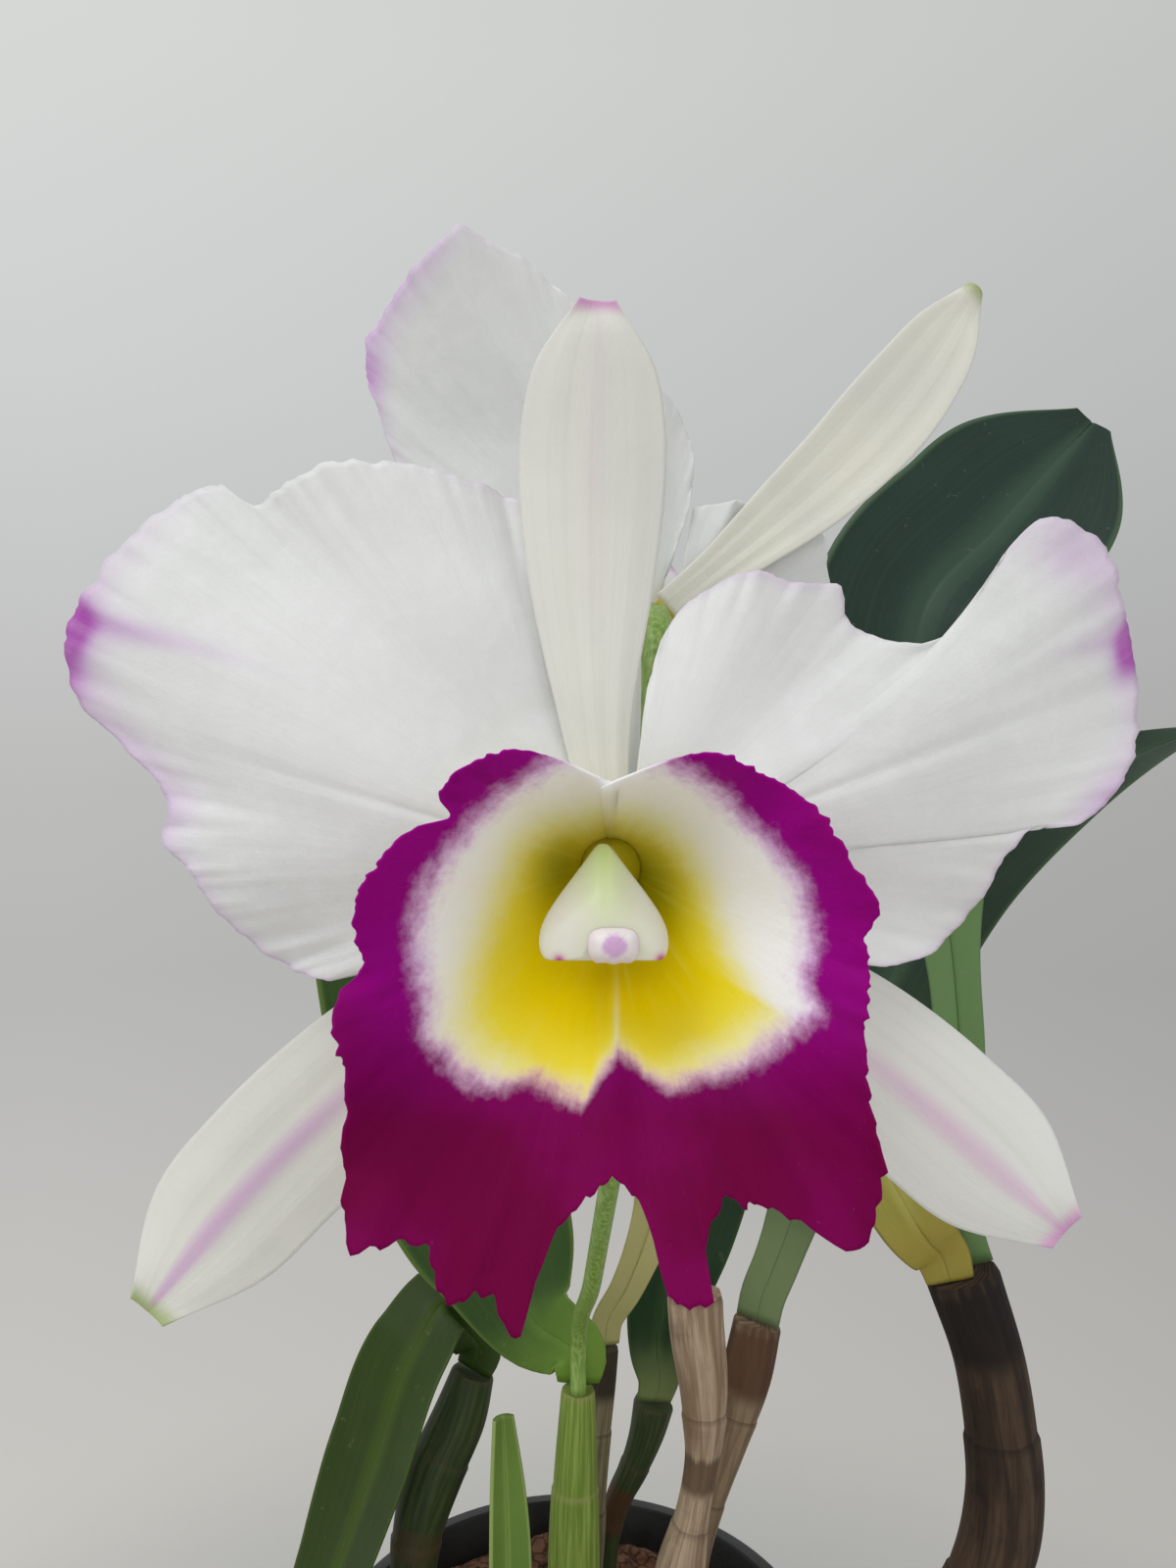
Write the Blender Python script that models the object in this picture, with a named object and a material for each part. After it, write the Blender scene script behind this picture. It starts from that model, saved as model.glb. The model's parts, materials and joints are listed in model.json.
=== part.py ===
"""Cattleya orchid in a black plastic pot: two large blooms on one stem, leaves on pseudobulbs in bark.

The origin is the centre of the pot's bottom face, +Z is up, and the front bloom faces -Y.
Lengths are written in millimetres and scaled to metres as each mesh is made. The plant stands off
the pot's middle, so it is written from its own axis, and all is moved over the pot at the end.
"""

import math
import random

import bmesh
import bpy
import numpy as np
from mathutils import Matrix, Vector

MM = 0.001
GAP = 0.3  # between pieces that touch

POT_X = -14.0  # of the pot's axis, from the plant's own
POT_HEIGHT = 88.0
POT_TOP_RADIUS = 57.5
POT_BOTTOM_RADIUS = 43.0
POT_WALL = 1.8
RIM_BAND_HEIGHT = 8.0
RIM_BAND_STEP = 2.5
DRAIN_RADIUS = 4.0
DRAIN_CIRCLE = 28.0
DRAIN_COUNT = 5
FLOOR_LIFT = 0.5  # of the pot's inside floor above its wall's thickness

BARK_EDGE_HEIGHT = 78.0
BARK_DOME_HEIGHT = 88.0
CHUNK_COUNT = 46
CHUNK_REACH = 44.0  # of a chunk's centre from the pot's axis
FOOT_HEIGHT = 70.0  # where each pseudobulb ends in its hole
FOOT_LENGTH = 14.0
CHUNK_HALF_SIZES = (8.5, 5.5, 4.5)
CHUNK_POINTS = 10

HUB_RADIUS = 3.4  # the column's foot, which sepals, petals and lip sit round
HUB_BACK = 0.9
PETAL_PLANE = -2.0
LIP_RING_FRONT = -3.8
TEPAL_THICKNESS = 0.9
LEAF_THICKNESS = 1.5
LEAF_SEAT = 0.5  # from the top of a pseudobulb to the leaf on it
SHEATH_COUNT = 4  # rings of papery sheath on a pseudobulb
SHEATH_STEP = 0.06  # how much wider it is at the top of each, as a share of its radius

# How far the edges of a blade bend to its facing side, as a share of its half-width.
TEPAL_CUP = -0.15
LEAF_CUP = 0.25
SHOOT_CUP = 0.5
# A petal in millimetres: how far it leans back at PETAL_REACH, how far its last edge is tucked behind,
# its ruffle with the folds to a radian, and half the width that its veins start from.
PETAL_REACH = 60.0
PETAL_LEAN = 5.0
PETAL_TUCK = 7.0
PETAL_TUCK_REACH = 21.0
PETAL_RUFFLE = 1.8
PETAL_FOLDS = 11.5
PETAL_CLAW = 2.6
PETAL_CLAW_HEIGHT = 1.0

FRONT_JUNCTION = (-7.0, -125.0, 284.0)
BACK_JUNCTION = (1.0, -85.0, 322.0)
BACK_ROLL = 45.0  # degrees that the back bloom is turned about its own axis

# Outlines seen from the front of a bloom: x, z, and how far the middle of each vein bows aside.
ROUND_PETAL = [
    (-25.0, -10.5, 0), (-31.0, -15.0, 0), (-40.0, -15.5, 0), (-46.5, -13.0, 0), (-53.0, -7.0, 0),
    (-58.5, 0.5, 0), (-61.5, 3.5, 0), (-61.0, 7.0, 0), (-68.0, 16.0, 0), (-76.0, 23.5, 0),
    (-77.0, 29.0, 0), (-73.0, 38.5, 0), (-67.5, 46.0, 0), (-60.0, 52.5, 0), (-54.5, 53.5, 0),
    (-51.5, 51.0, 0), (-42.0, 55.0, 0), (-30.0, 56.0, 0), (-19.5, 54.0, 1), (-13.0, 51.0, 4),
    (-9.0, 46.0, 6),
]
BAY_PETAL = [
    (24.0, -8.0, 0), (36.3, -13.5, 0), (44.4, -11.8, 0), (49.9, -6.4, 0), (54.0, 1.7, 0),
    (56.8, 4.6, 0), (64.8, 5.8, 0), (71.5, 12.5, 0), (75.0, 18.7, 0), (75.4, 24.8, 2),
    (73.5, 33.0, 4), (71.5, 38.4, 6), (68.9, 45.1, 9), (64.8, 47.4, 11), (60.0, 47.8, 12),
    (56.6, 45.1, 11.5), (52.4, 39.4, 8.5), (49.9, 35.6, 6), (47.0, 32.0, 3), (42.3, 30.2, 0.5),
    (37.6, 30.9, 0), (33.6, 33.0, 0), (31.5, 38.0, 0), (24.1, 38.4, 0), (20.7, 39.7, 0),
    (13.3, 37.6, 0), (8.3, 33.0, 0), (5.0, 24.0, 0),
]
BACK_UPPER_PETAL = [
    (-19.0, -7.0, 0), (-35.0, -13.0, 0), (-50.8, -11.0, 0), (-58.7, -7.0, 0), (-63.8, -4.5, 0),
    (-67.2, -0.8, 0), (-68.6, 5.5, 0), (-69.0, 12.0, 0), (-69.0, 18.0, 0), (-68.4, 24.0, 0),
    (-64.0, 25.3, 0), (-59.0, 27.5, 0), (-52.5, 28.6, 0), (-41.0, 28.8, 0), (-30.0, 29.3, 0),
    (-24.0, 29.2, 0), (-17.5, 27.0, 0), (-10.5, 19.5, 0), (-6.5, 12.0, 0),
]
BACK_LOWER_PETAL = [
    (-19.0, -7.0, 0), (-35.0, -13.0, 0), (-51.0, -10.0, 0), (-58.0, -6.0, 0), (-66.5, -2.0, 0),
    (-68.5, 3.0, 0), (-67.0, 12.0, 0), (-60.0, 18.0, 0), (-48.0, 18.5, 0), (-34.0, 19.0, 0),
    (-24.0, 22.0, 0), (-15.0, 27.5, 0), (-9.5, 31.0, 0), (-3.0, 29.5, 0), (4.2, 25.0, 0), (9.5, 19.5, 0),
]
# The lip's cut edge in the same view, from its seam above the column round the left, front and right.
LIP_EDGE = [
    (-2.2, 11.0), (-6.4, 13.8), (-10.7, 14.8), (-15.9, 13.4), (-19.0, 7.8), (-23.9, 5.8), (-27.0, 0.6),
    (-27.9, -5.6), (-27.3, -9.0), (-29.0, -11.3), (-28.2, -19.2), (-28.7, -28.2), (-27.1, -36.8),
    (-22.1, -36.3), (-19.1, -38.3), (-17.6, -41.8), (-13.6, -41.3), (-10.0, -45.0), (-8.5, -40.3),
    (-5.0, -34.3), (-0.5, -31.4), (2.5, -33.8), (4.2, -38.3), (5.6, -41.8), (9.9, -41.8), (9.1, -36.3),
    (11.1, -33.3), (16.1, -33.6), (25.7, -37.6), (27.7, -29.2), (26.4, -22.2), (26.2, -14.2),
    (27.0, -10.0), (26.8, -5.6), (27.9, -2.5), (25.0, 2.7), (21.3, 8.9), (16.3, 12.1), (10.2, 14.5),
    (6.0, 13.8), (-0.4, 11.0),
]
# The smooth form that the edge is cut from, every 30 degrees from the seam: reach and how far forward.
LIP_REACH = [12, 19, 23, 27, 34, 43, 41, 43, 34, 28, 25, 19.5, 12]
LIP_FORWARD = [21, 29, 32.5, 35, 37.5, 38, 41, 38, 37.5, 35, 33, 29, 21]
LIP_CENTRE = (-0.8, -0.5)
# Sepals: midrib points x, y, z, and half-widths at even steps along it.
DORSAL_SEPAL = [(-0.3, 0, 3.8), (-1.8, 0.6, 18), (-2.5, 1.5, 37), (-2.3, 1.5, 57), (-1.7, 0, 77)]
BACK_DORSAL_SEPAL = [(0, 0, 3.8), (-2.0, 0.8, 22), (-3.4, 1.5, 42), (-2.2, 1, 60), (1.5, -1, 79)]
LEFT_SEPAL = [(-2.6, 0, -2.7), (-16, 3, -14), (-36, 4, -31.5), (-53, 0.5, -48.5), (-61.5, -4, -59)]
RIGHT_SEPAL = [(2.6, 0, -2.7), (15, 3, -12), (35, 4, -26.5), (60.5, -4, -48.5)]
DORSAL_WIDTHS = [3.2, 3.8, 5.0, 6.6, 8.2, 9.4, 10.1, 9.9, 8.0, 2.4]
BACK_DORSAL_WIDTHS = [3.2, 3.8, 5.2, 6.6, 7.4, 7.9, 7.4, 5.8, 1.6]
SIDE_WIDTHS = [3.2, 4.8, 7.4, 9.6, 10.7, 10.8, 9.6, 2.8]
BROAD_WIDTHS = [0.28, 0.74, 0.96, 1.0, 1.0, 1.0, 0.95, 0.8, 0.5, 0.06]
LEAF_WIDTHS = [0.34, 0.52, 0.78, 0.94, 1.0, 1.0, 0.95, 0.8, 0.5, 0.06]
STRAP_WIDTHS = [0.26, 0.28, 0.32, 0.42, 0.66, 0.9, 1.0, 0.98, 0.72, 0.06]
PADDLE_WIDTHS = [0.2, 0.21, 0.22, 0.26, 0.5, 0.84, 1.0, 1.0, 0.88, 0.2]
SHORT_WIDTHS = [0.62, 0.76, 0.9, 1.0, 1.0, 0.98, 0.9, 0.76, 0.5, 0.1]

SHOOT_PLACE = (-27.8, -33)
SHOOT_HOLE_RADIUS = 3.2

# Pseudobulbs: where each stands, its midline points above the bark, and radii at even steps.
BULBS = {
    "new_pseudobulb": ((-13, -17), [(-13.2, -17.5, 118), (-12.2, -18, 158)], [3.2, 4.4, 5.9, 5.6, 4.8, 3.6]),
    "left_pseudobulb": (
        (-53, 4), [(-53, 4, 94), (-52, 4, 110), (-47.5, 5, 126), (-42, 7, 138), (-38.5, 8, 149)],
        [3.0, 4.0, 5.0, 6.0, 6.8, 6.6, 5.0],
    ),
    "middle_pseudobulb": ((-10, 14), [(-10, 15, 118), (-6, 15, 152)], [3.0, 3.2, 4.4, 4.8, 4.4, 3.6]),
    "green_pseudobulb": (
        (-6, 24), [(-4.5, 24, 100), (-1.5, 24, 109), (1.5, 24, 115), (5.3, 24, 125), (7.2, 24, 133)],
        [3.0, 3.0, 3.2, 3.4, 4.0, 5.0],
    ),
    "tan_pseudobulb": (
        (9, -12),
        [(9.5, -12, 97), (11.4, -12, 113), (14.6, -12.5, 129), (16.3, -13, 141), (16.5, -13.5, 155),
         (14.8, -14, 172), (14.5, -14, 178)],
        [4.2, 5.4, 6.4, 5.8, 4.0, 3.7, 5.0, 5.8, 6.0],
    ),
    "rear_pseudobulb": (
        (17, 12), [(17.5, 12, 100), (20.5, 12.5, 113), (25.5, 13, 130), (30, 14, 145), (33, 15, 158)],
        [3.2, 3.0, 3.2, 3.8, 4.8, 6.2, 5.8],
    ),
    "curved_pseudobulb": (
        (34, -8),
        [(40, -9, 95), (50, -11, 99), (64, -14, 102.5), (75, -18, 109), (81, -19.5, 120), (83.7, -20, 136),
         (82.7, -20, 150), (80.2, -20, 166), (74.4, -19, 184.5)],
        [3.2, 3.6, 4.4, 5.0, 7.0, 8.2, 8.0, 7.5, 7.2, 7.6],
    ),
}
# Leaves: the pseudobulb each stands on, its shift on the top, midrib points past the top,
# the side its upper face looks to at its base and at its tip, its width and its outline.
LEAVES = {
    "broad_leaf": ("new_pseudobulb", (0, 2.2, 0),
                   [(-22, -13.2, 171), (-30, -11, 187), (-43, -6, 215), (-54, 2, 250), (-62, 12, 288),
                    (-66, 22, 318)],
                   (0.1, -1, 0), (0.4, -1, 0.2), 44, BROAD_WIDTHS),
    "drooping_leaf": ("left_pseudobulb", (0, 0, 0),
                      [(-40.5, 8, 160), (-45, 6, 167), (-51.5, 1, 159), (-60.5, -3, 134), (-69.5, -4, 108),
                       (-78, -5, 90), (-83, -6, 70)],
                      (-0.3, -1, 0.4), (-1, -0.4, 0.3), 28, LEAF_WIDTHS),
    "yellow_green_leaf": ("middle_pseudobulb", (0, 0, 0),
                          [(-0.7, 15.5, 166), (6.5, 17, 184), (14.5, 22, 220), (18, 30, 258)],
                          (0.4, -1, 0), (0.2, -1, 0), 32, STRAP_WIDTHS),
    "dark_leaf": ("green_pseudobulb", (0, 0, 0),
                  [(7.8, 24.5, 147), (10.5, 26, 162), (18, 31, 185), (29, 40, 211), (42, 50, 240)],
                  (0.3, -1, 0), (0.3, -1, 0), 28, LEAF_WIDTHS),
    "right_leaf": ("rear_pseudobulb", (0, 0, 0),
                   [(37.8, 16, 172), (51, 17, 208), (65, 18, 240), (85, 20, 270), (110, 22, 290),
                    (140, 24, 305), (158, 26, 311)],
                   (-0.5, -0.9, 0.2), (-0.3, -0.4, 1), 38, LEAF_WIDTHS),
    "upright_leaf": ("curved_pseudobulb", (3.2, 2.2, 0),
                     [(76.5, -13, 215), (75.5, -10, 250), (70.5, -9, 288), (66, -8, 317), (70, -7, 338),
                      (86, -5, 355), (103, -1, 373), (113, 3, 383)],
                     (-0.3, -1, 0), (-0.3, -1, 0.1), 50, PADDLE_WIDTHS),
    "yellowing_leaf": ("curved_pseudobulb", (-3.6, -2.6, 0),
                       [(66, -23, 193), (58, -23, 206), (50, -21, 223), (44, -17, 246)],
                       (-0.3, -1, 0), (0.2, -1, 0.2), 17, SHORT_WIDTHS),
}


def through(points, fraction, even=False):
    """The point at a fraction of a smooth curve through the given points, by length or by even steps."""
    points = np.array(points, float)
    steps = np.ones(len(points) - 1) if even else np.linalg.norm(np.diff(points, axis=0), axis=1)
    along = np.concatenate([[0.0], np.cumsum(steps)])
    slopes = np.gradient(points, along, axis=0)
    where = fraction * along[-1]
    i = min(int(np.searchsorted(along, where, side="right")) - 1, len(points) - 2)
    span = along[i + 1] - along[i]
    s = (where - along[i]) / span
    start = (1 + 2 * s) * (1 - s) ** 2 * points[i] + s * (1 - s) ** 2 * span * slopes[i]
    return start + s * s * (3 - 2 * s) * points[i + 1] + s * s * (s - 1) * span * slopes[i + 1]


def even_steps(values, fraction):
    """The smoothed value at a fraction of a list whose entries lie at even steps."""
    return float(through([(value,) for value in values], fraction, even=True)[0])


def direction(route, fraction):
    """The direction of a smooth route at a fraction of its length."""
    ahead = Vector(through(route, min(fraction + 0.01, 1)))
    return (ahead - Vector(through(route, max(fraction - 0.01, 0)))).normalized()


def finish_material(name, colour, roughness):
    """A Principled material of one colour."""
    material = bpy.data.materials.new(name)
    material.use_nodes = True
    shader = material.node_tree.nodes["Principled BSDF"]
    shader.inputs["Base Color"].default_value = (*colour, 1.0)
    shader.inputs["Roughness"].default_value = roughness
    material.diffuse_color = (*colour, 1.0)
    return material


def add_object(name, shape, material):
    """Turn a bmesh in metres into a named, smooth shaded object of the scene."""
    mesh = bpy.data.meshes.new(name)
    shape.to_mesh(mesh)
    shape.free()
    mesh.materials.append(material)
    mesh.shade_smooth()
    mesh.set_sharp_from_angle(angle=math.radians(45))
    obj = bpy.data.objects.new(name, mesh)
    bpy.context.scene.collection.objects.link(obj)
    return obj


def blade(name, surface, across, along, thickness, material, frame=Matrix()):
    """A thin blade on surface(u, v), with u and v from 0 to 1, split alike on both faces."""
    sheet = bmesh.new()
    bmesh.ops.create_grid(sheet, x_segments=across, y_segments=along, size=0.5)
    for vert in sheet.verts:
        vert.co = frame @ (Vector(surface(vert.co.x + 0.5, vert.co.y + 0.5)) * MM)
    bmesh.ops.triangulate(sheet, faces=sheet.faces)
    obj = add_object(name, sheet, material)
    solidify = obj.modifiers.new("Thickness", "SOLIDIFY")
    solidify.thickness = thickness * MM
    solidify.offset = 0.0
    return obj


def loft(name, rings, material, frame=Matrix()):
    """A closed body through rings of equally many points, with a flat cap at each end."""
    shape = bmesh.new()
    loops = [[shape.verts.new(frame @ (Vector(point) * MM)) for point in ring] for ring in rings]
    for lower, upper in zip(loops, loops[1:]):
        for i, vert in enumerate(lower):
            j = (i + 1) % len(lower)
            shape.faces.new((vert, lower[j], upper[j], upper[i]))
    shape.faces.new(reversed(loops[0]))
    shape.faces.new(loops[-1])
    bmesh.ops.recalc_face_normals(shape, faces=shape.faces)
    return add_object(name, shape, material)


def circle(radius, height, sides, x=0.0, y=0.0):
    """Points of a level circle round an upright axis at x, y."""
    turns = [2 * math.pi * i / sides for i in range(sides)]
    return [(x + radius * math.cos(turn), y + radius * math.sin(turn), height) for turn in turns]


def sweep(name, route, radii, rings, sides, material, bump=lambda t: 1.0):
    """A round closed body along a smooth route, with radii at even steps along it."""
    sections = []
    side = Vector((1.0, 0.0, 0.0))
    for i in range(rings + 1):
        t = i / rings
        centre = Vector(through(route, t))
        ahead = direction(route, t)
        side = (side - ahead * side.dot(ahead)).normalized()
        third = ahead.cross(side)
        radius = even_steps(radii, t) * bump(t)
        turns = [2 * math.pi * k / sides for k in range(sides)]
        sections.append([centre + radius * (side * math.cos(a) + third * math.sin(a)) for a in turns])
    return loft(name, sections, material)


def fuse(body, others, operation="UNION"):
    """Join the other objects to the body, or cut them from it, and remove them."""
    group = bpy.data.collections.new("fusing")
    for other in others:
        group.objects.link(other)
    boolean = body.modifiers.new("Fuse", "BOOLEAN")
    boolean.operand_type = "COLLECTION"
    boolean.collection = group
    boolean.operation = operation
    boolean.solver = "EXACT"
    with bpy.context.temp_override(object=body, active_object=body):
        bpy.ops.object.modifier_apply(modifier=boolean.name)
    for other in others:
        bpy.data.objects.remove(other)
    bpy.data.collections.remove(group)


def keep_largest(obj):
    """Drop the loose scraps that a cut leaves beside the main body."""
    shape = bmesh.new()
    shape.from_mesh(obj.data)
    left = set(shape.verts)
    bodies = []
    while left:
        body = set()
        edge = [left.pop()]
        while edge:
            vert = edge.pop()
            body.add(vert)
            near = {link.other_vert(vert) for link in vert.link_edges} & left
            left -= near
            edge.extend(near)
        bodies.append(body)
    bodies.sort(key=len)
    scraps = [vert for body in bodies[:-1] for vert in body]
    bmesh.ops.delete(shape, geom=scraps, context="VERTS")
    shape.to_mesh(obj.data)
    shape.free()


def strap(route, half_widths, first_facing, last_facing, cup):
    """The surface of a leaf or sepal along a midrib; cup bends its edges to the facing side."""

    def surface(u, v):
        t = 1 - (1 - v) ** 1.25
        a = 2 * u - 1
        centre = Vector(through(route, t))
        ahead = direction(route, t)
        side = ahead.cross(Vector(first_facing).lerp(Vector(last_facing), t)).normalized()
        up = side.cross(ahead)
        half = even_steps(half_widths, t)
        return centre + side * a * half + up * cup * half * a * a * min(1, 4 * t)

    return surface


def fan(outline, claw, tuck):
    """The surface of a petal whose veins fan out from its claw, with a ruffled edge."""
    side = math.copysign(1, outline[0][0])
    first, last = Vector(outline[0][:2]), Vector(outline[-1][:2])
    spread = (last - first).normalized()
    root = Vector((claw[0], claw[2]))
    whole = (first - root).angle(last - root)

    def surface(u, v):
        x, z, bow = through(outline, u)
        start = root + spread * PETAL_CLAW * (2 * u - 1)
        start *= max(1, (HUB_RADIUS + GAP) / start.length)
        vein = Vector((x, z)) - start
        aside = Vector((vein.y, -vein.x)).normalized() * side
        point = start + vein * v + aside * 2 * bow * v * (1 - v)
        out = point - root
        turn = (first - root).angle(out, 0.0)
        inner = min(1, turn / whole) ** 4 * min(1, out.length / PETAL_TUCK_REACH)
        lean = PETAL_LEAN * (out.length / PETAL_REACH) ** 2
        ruffle = PETAL_RUFFLE * v**3 * math.sin(PETAL_FOLDS * turn - 0.6)
        return (point.x, claw[1] + lean + tuck * inner + ruffle, point.y)

    return surface


def lip_point(turn, v):
    """A point of the lip's smooth form: from a tube round the column out to its full reach."""
    aim = Vector((math.cos(turn), 0, math.sin(turn)))
    centre = Vector((LIP_CENTRE[0], 0, LIP_CENTRE[1]))
    share = (turn - math.pi / 2) / math.tau
    start = aim * (HUB_RADIUS + GAP + TEPAL_THICKNESS / 2) + Vector((0, LIP_RING_FRONT, 0))
    width = 8.5 + 5.5 * abs(aim.x) + 3.5 * max(0, -aim.z)
    tube = centre + aim * width - Vector((0, 15 + 2 * max(0, -aim.z), 0))
    edge = centre + aim * even_steps(LIP_REACH, share)
    edge.y = -even_steps(LIP_FORWARD, share) - 1.2 * math.sin(9 * turn)
    flare = tube.lerp(edge, 0.5) + Vector((0, -5, 0))
    s = 1 - v
    return s**3 * start + 3 * s * s * v * tube + 3 * s * v * v * flare + v**3 * edge


def lip_surface(u, v):
    """The lip, cut from its smooth form where the form meets the outline of its edge."""
    x, z = through(LIP_EDGE, u)
    x, z = x - LIP_CENTRE[0], z - LIP_CENTRE[1]
    turn = math.atan2(z, x) % math.tau
    if u > 0.5:
        turn += math.tau * (turn < math.pi)
    low, high = 0.0, 1.3
    for _ in range(24):
        middle = (low + high) / 2
        point = lip_point(turn, middle)
        inside = math.hypot(point.x - LIP_CENTRE[0], point.z - LIP_CENTRE[1]) < math.hypot(x, z)
        low, high = (middle, high) if inside else (low, middle)
    return lip_point(turn, v * low)


def column(name, frame, material):
    """The column: a foot that carries the other pieces, widening to a winged hood that is flat below."""
    sections = [
        (HUB_BACK, 0.0, HUB_RADIUS, HUB_RADIUS), (-4.2, 0.0, HUB_RADIUS, HUB_RADIUS), (-8.0, 0.0, 3.9, 3.9),
        (-14.0, -0.2, 5.4, 4.8), (-19.0, -1.4, 6.8, 5.2), (-24.0, -3.6, 10.0, 5.4), (-27.5, -5.5, 9.2, 4.5),
    ]
    rings = []
    for y, height, half_width, half_height in sections:
        hood = min(1, max(0, (-4.2 - y) / 16))
        ring = []
        for i in range(16):
            turn = 2 * math.pi * i / 16
            rise = (1 + math.sin(turn)) / 2
            square = math.copysign(abs(math.cos(turn)) ** (1 - 0.4 * hood), math.cos(turn))
            x = half_width * square * (1 - 0.75 * hood * rise) - 1.2 * hood
            ring.append((x, y, height + half_height * max(math.sin(turn), 0.3 * hood - 1)))
        rings.append(ring)
    return loft(name, rings, material, frame)


def anther_cap(name, frame, material):
    """The small cap under the tip of the column."""
    rings = []
    for step in range(7):
        swing = math.pi * (step + 0.5) / 7
        y = -29.95 - 2.2 * math.cos(swing)
        ring = circle(math.sin(swing), 0, 10)
        rings.append([(3.0 * x - 1.2, y, 2.2 * z - 6.8) for x, z, _ in ring])
    return loft(name, rings, material, frame)


def bloom(prefix, frame, dorsal, petals, lip_columns, finishes):
    """One bloom in a frame whose origin is where its pieces join and whose -Y looks out of its face."""
    viewer = (0, -1, 0)
    sepals = {
        "dorsal_sepal": dorsal,
        "left_sepal": (LEFT_SEPAL, SIDE_WIDTHS),
        "right_sepal": (RIGHT_SEPAL, SIDE_WIDTHS),
    }
    for part, (route, widths) in sepals.items():
        surface = strap(route, widths, viewer, viewer, TEPAL_CUP)
        blade(f"{prefix}_{part}", surface, 4, 10, TEPAL_THICKNESS, finishes["tepal"], frame)
    for part, (outline, tuck) in petals.items():
        claw = (math.copysign(HUB_RADIUS + GAP, outline[0][0]), PETAL_PLANE, PETAL_CLAW_HEIGHT)
        surface = fan(outline, claw, tuck)
        blade(f"{prefix}_{part}", surface, len(outline) + 2, 6, TEPAL_THICKNESS, finishes["tepal"], frame)
    blade(f"{prefix}_lip", lip_surface, lip_columns, 6, TEPAL_THICKNESS, finishes["lip"], frame)
    column(f"{prefix}_column", frame, finishes["column"])
    anther_cap(f"{prefix}_anther_cap", frame, finishes["cap"])


def mirrored(outline):
    """The same outline for the other side of a bloom."""
    return [(-x, z, bow) for x, z, bow in outline]


def flower_stem(material):
    """The flower stem with the two pedicels that end in the blooms' ovaries."""
    start = bulb_top("new_pseudobulb") + Vector((0, -2.4, GAP))
    fork = Vector((-3, -98, 252))
    seat = Vector((0, HUB_BACK + GAP, 0))
    straight_end = Vector((0, 4, 0))
    front = Vector(FRONT_JUNCTION) + seat
    back = Vector(BACK_JUNCTION) - seat
    stem_route = [start, start + Vector((0, 0, 6)), (-9, -58, 200), fork, fork + Vector((1, -3, 7))]
    front_route = [fork, (-4, -102, 268), (-6.5, -111, 281), front + straight_end, front]
    back_route = [fork, (-1, -104, 285), (0.5, -104, 308), (1, -98, 319), back - straight_end, back]
    stem = sweep("flower_stem", stem_route, [1.8, 1.8, 1.8, 2.0], 10, 8, material)
    pedicels = [
        sweep("front_pedicel", front_route, [1.6, 1.7, 2.2, 2.9], 8, 8, material),
        sweep("back_pedicel", back_route, [1.6, 1.7, 2.0, 2.4, 2.9], 10, 8, material),
    ]
    fuse(stem, pedicels)


def bulb_route(name, foot_height=FOOT_HEIGHT):
    """The midline of a pseudobulb: straight up out of its hole, then through its own points."""
    (x, y), points, _ = BULBS[name]
    return [(x, y, foot_height), (x, y, FOOT_HEIGHT + FOOT_LENGTH), *points]


def bulb_top(name):
    """The middle of the flat top that a pseudobulb's leaf stands on."""
    return Vector(BULBS[name][1][-1])


def pseudobulb(name, material):
    """A pseudobulb with sheath rings, each a little wider at its top."""
    return sweep(name, bulb_route(name), BULBS[name][2], 12, 10, material, sheath_rings)


def sheath_rings(t):
    """How much wider a pseudobulb is towards the top of each sheath."""
    return 1 + SHEATH_STEP * ((SHEATH_COUNT * t) % 1.0)


def leaf(name, material):
    """A stiff, folded leaf that stands on the top of its pseudobulb."""
    bulb, shift, points, first_facing, last_facing, width, outline = LEAVES[name]
    ahead = direction(bulb_route(bulb), 1.0)
    base = bulb_top(bulb) + Vector(shift) - ahead * ahead.dot(Vector(shift))
    route = [base + ahead * LEAF_SEAT, base + ahead * 6, *points]
    half_widths = [width / 2 * share for share in outline]
    surface = strap(route, half_widths, first_facing, last_facing, LEAF_CUP)
    blade(name, surface, 4, 14, LEAF_THICKNESS, material)


def young_shoot(material):
    """The young shoot: one folded leaf that comes straight out of the bark."""
    x, y = SHOOT_PLACE
    route = [(x, y, FOOT_HEIGHT), (x, y, 100), (x + 0.5, y - 1, 130), (x - 0.5, y - 2, 161)]
    facing = (0.5, -1, 0)
    half_widths = [2.4, 3.4, 4.6, 4.6, 4.6, 3.8, 2.2]
    surface = strap(route, half_widths, facing, facing, SHOOT_CUP)
    blade("young_shoot", surface, 4, 10, LEAF_THICKNESS, material)


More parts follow.
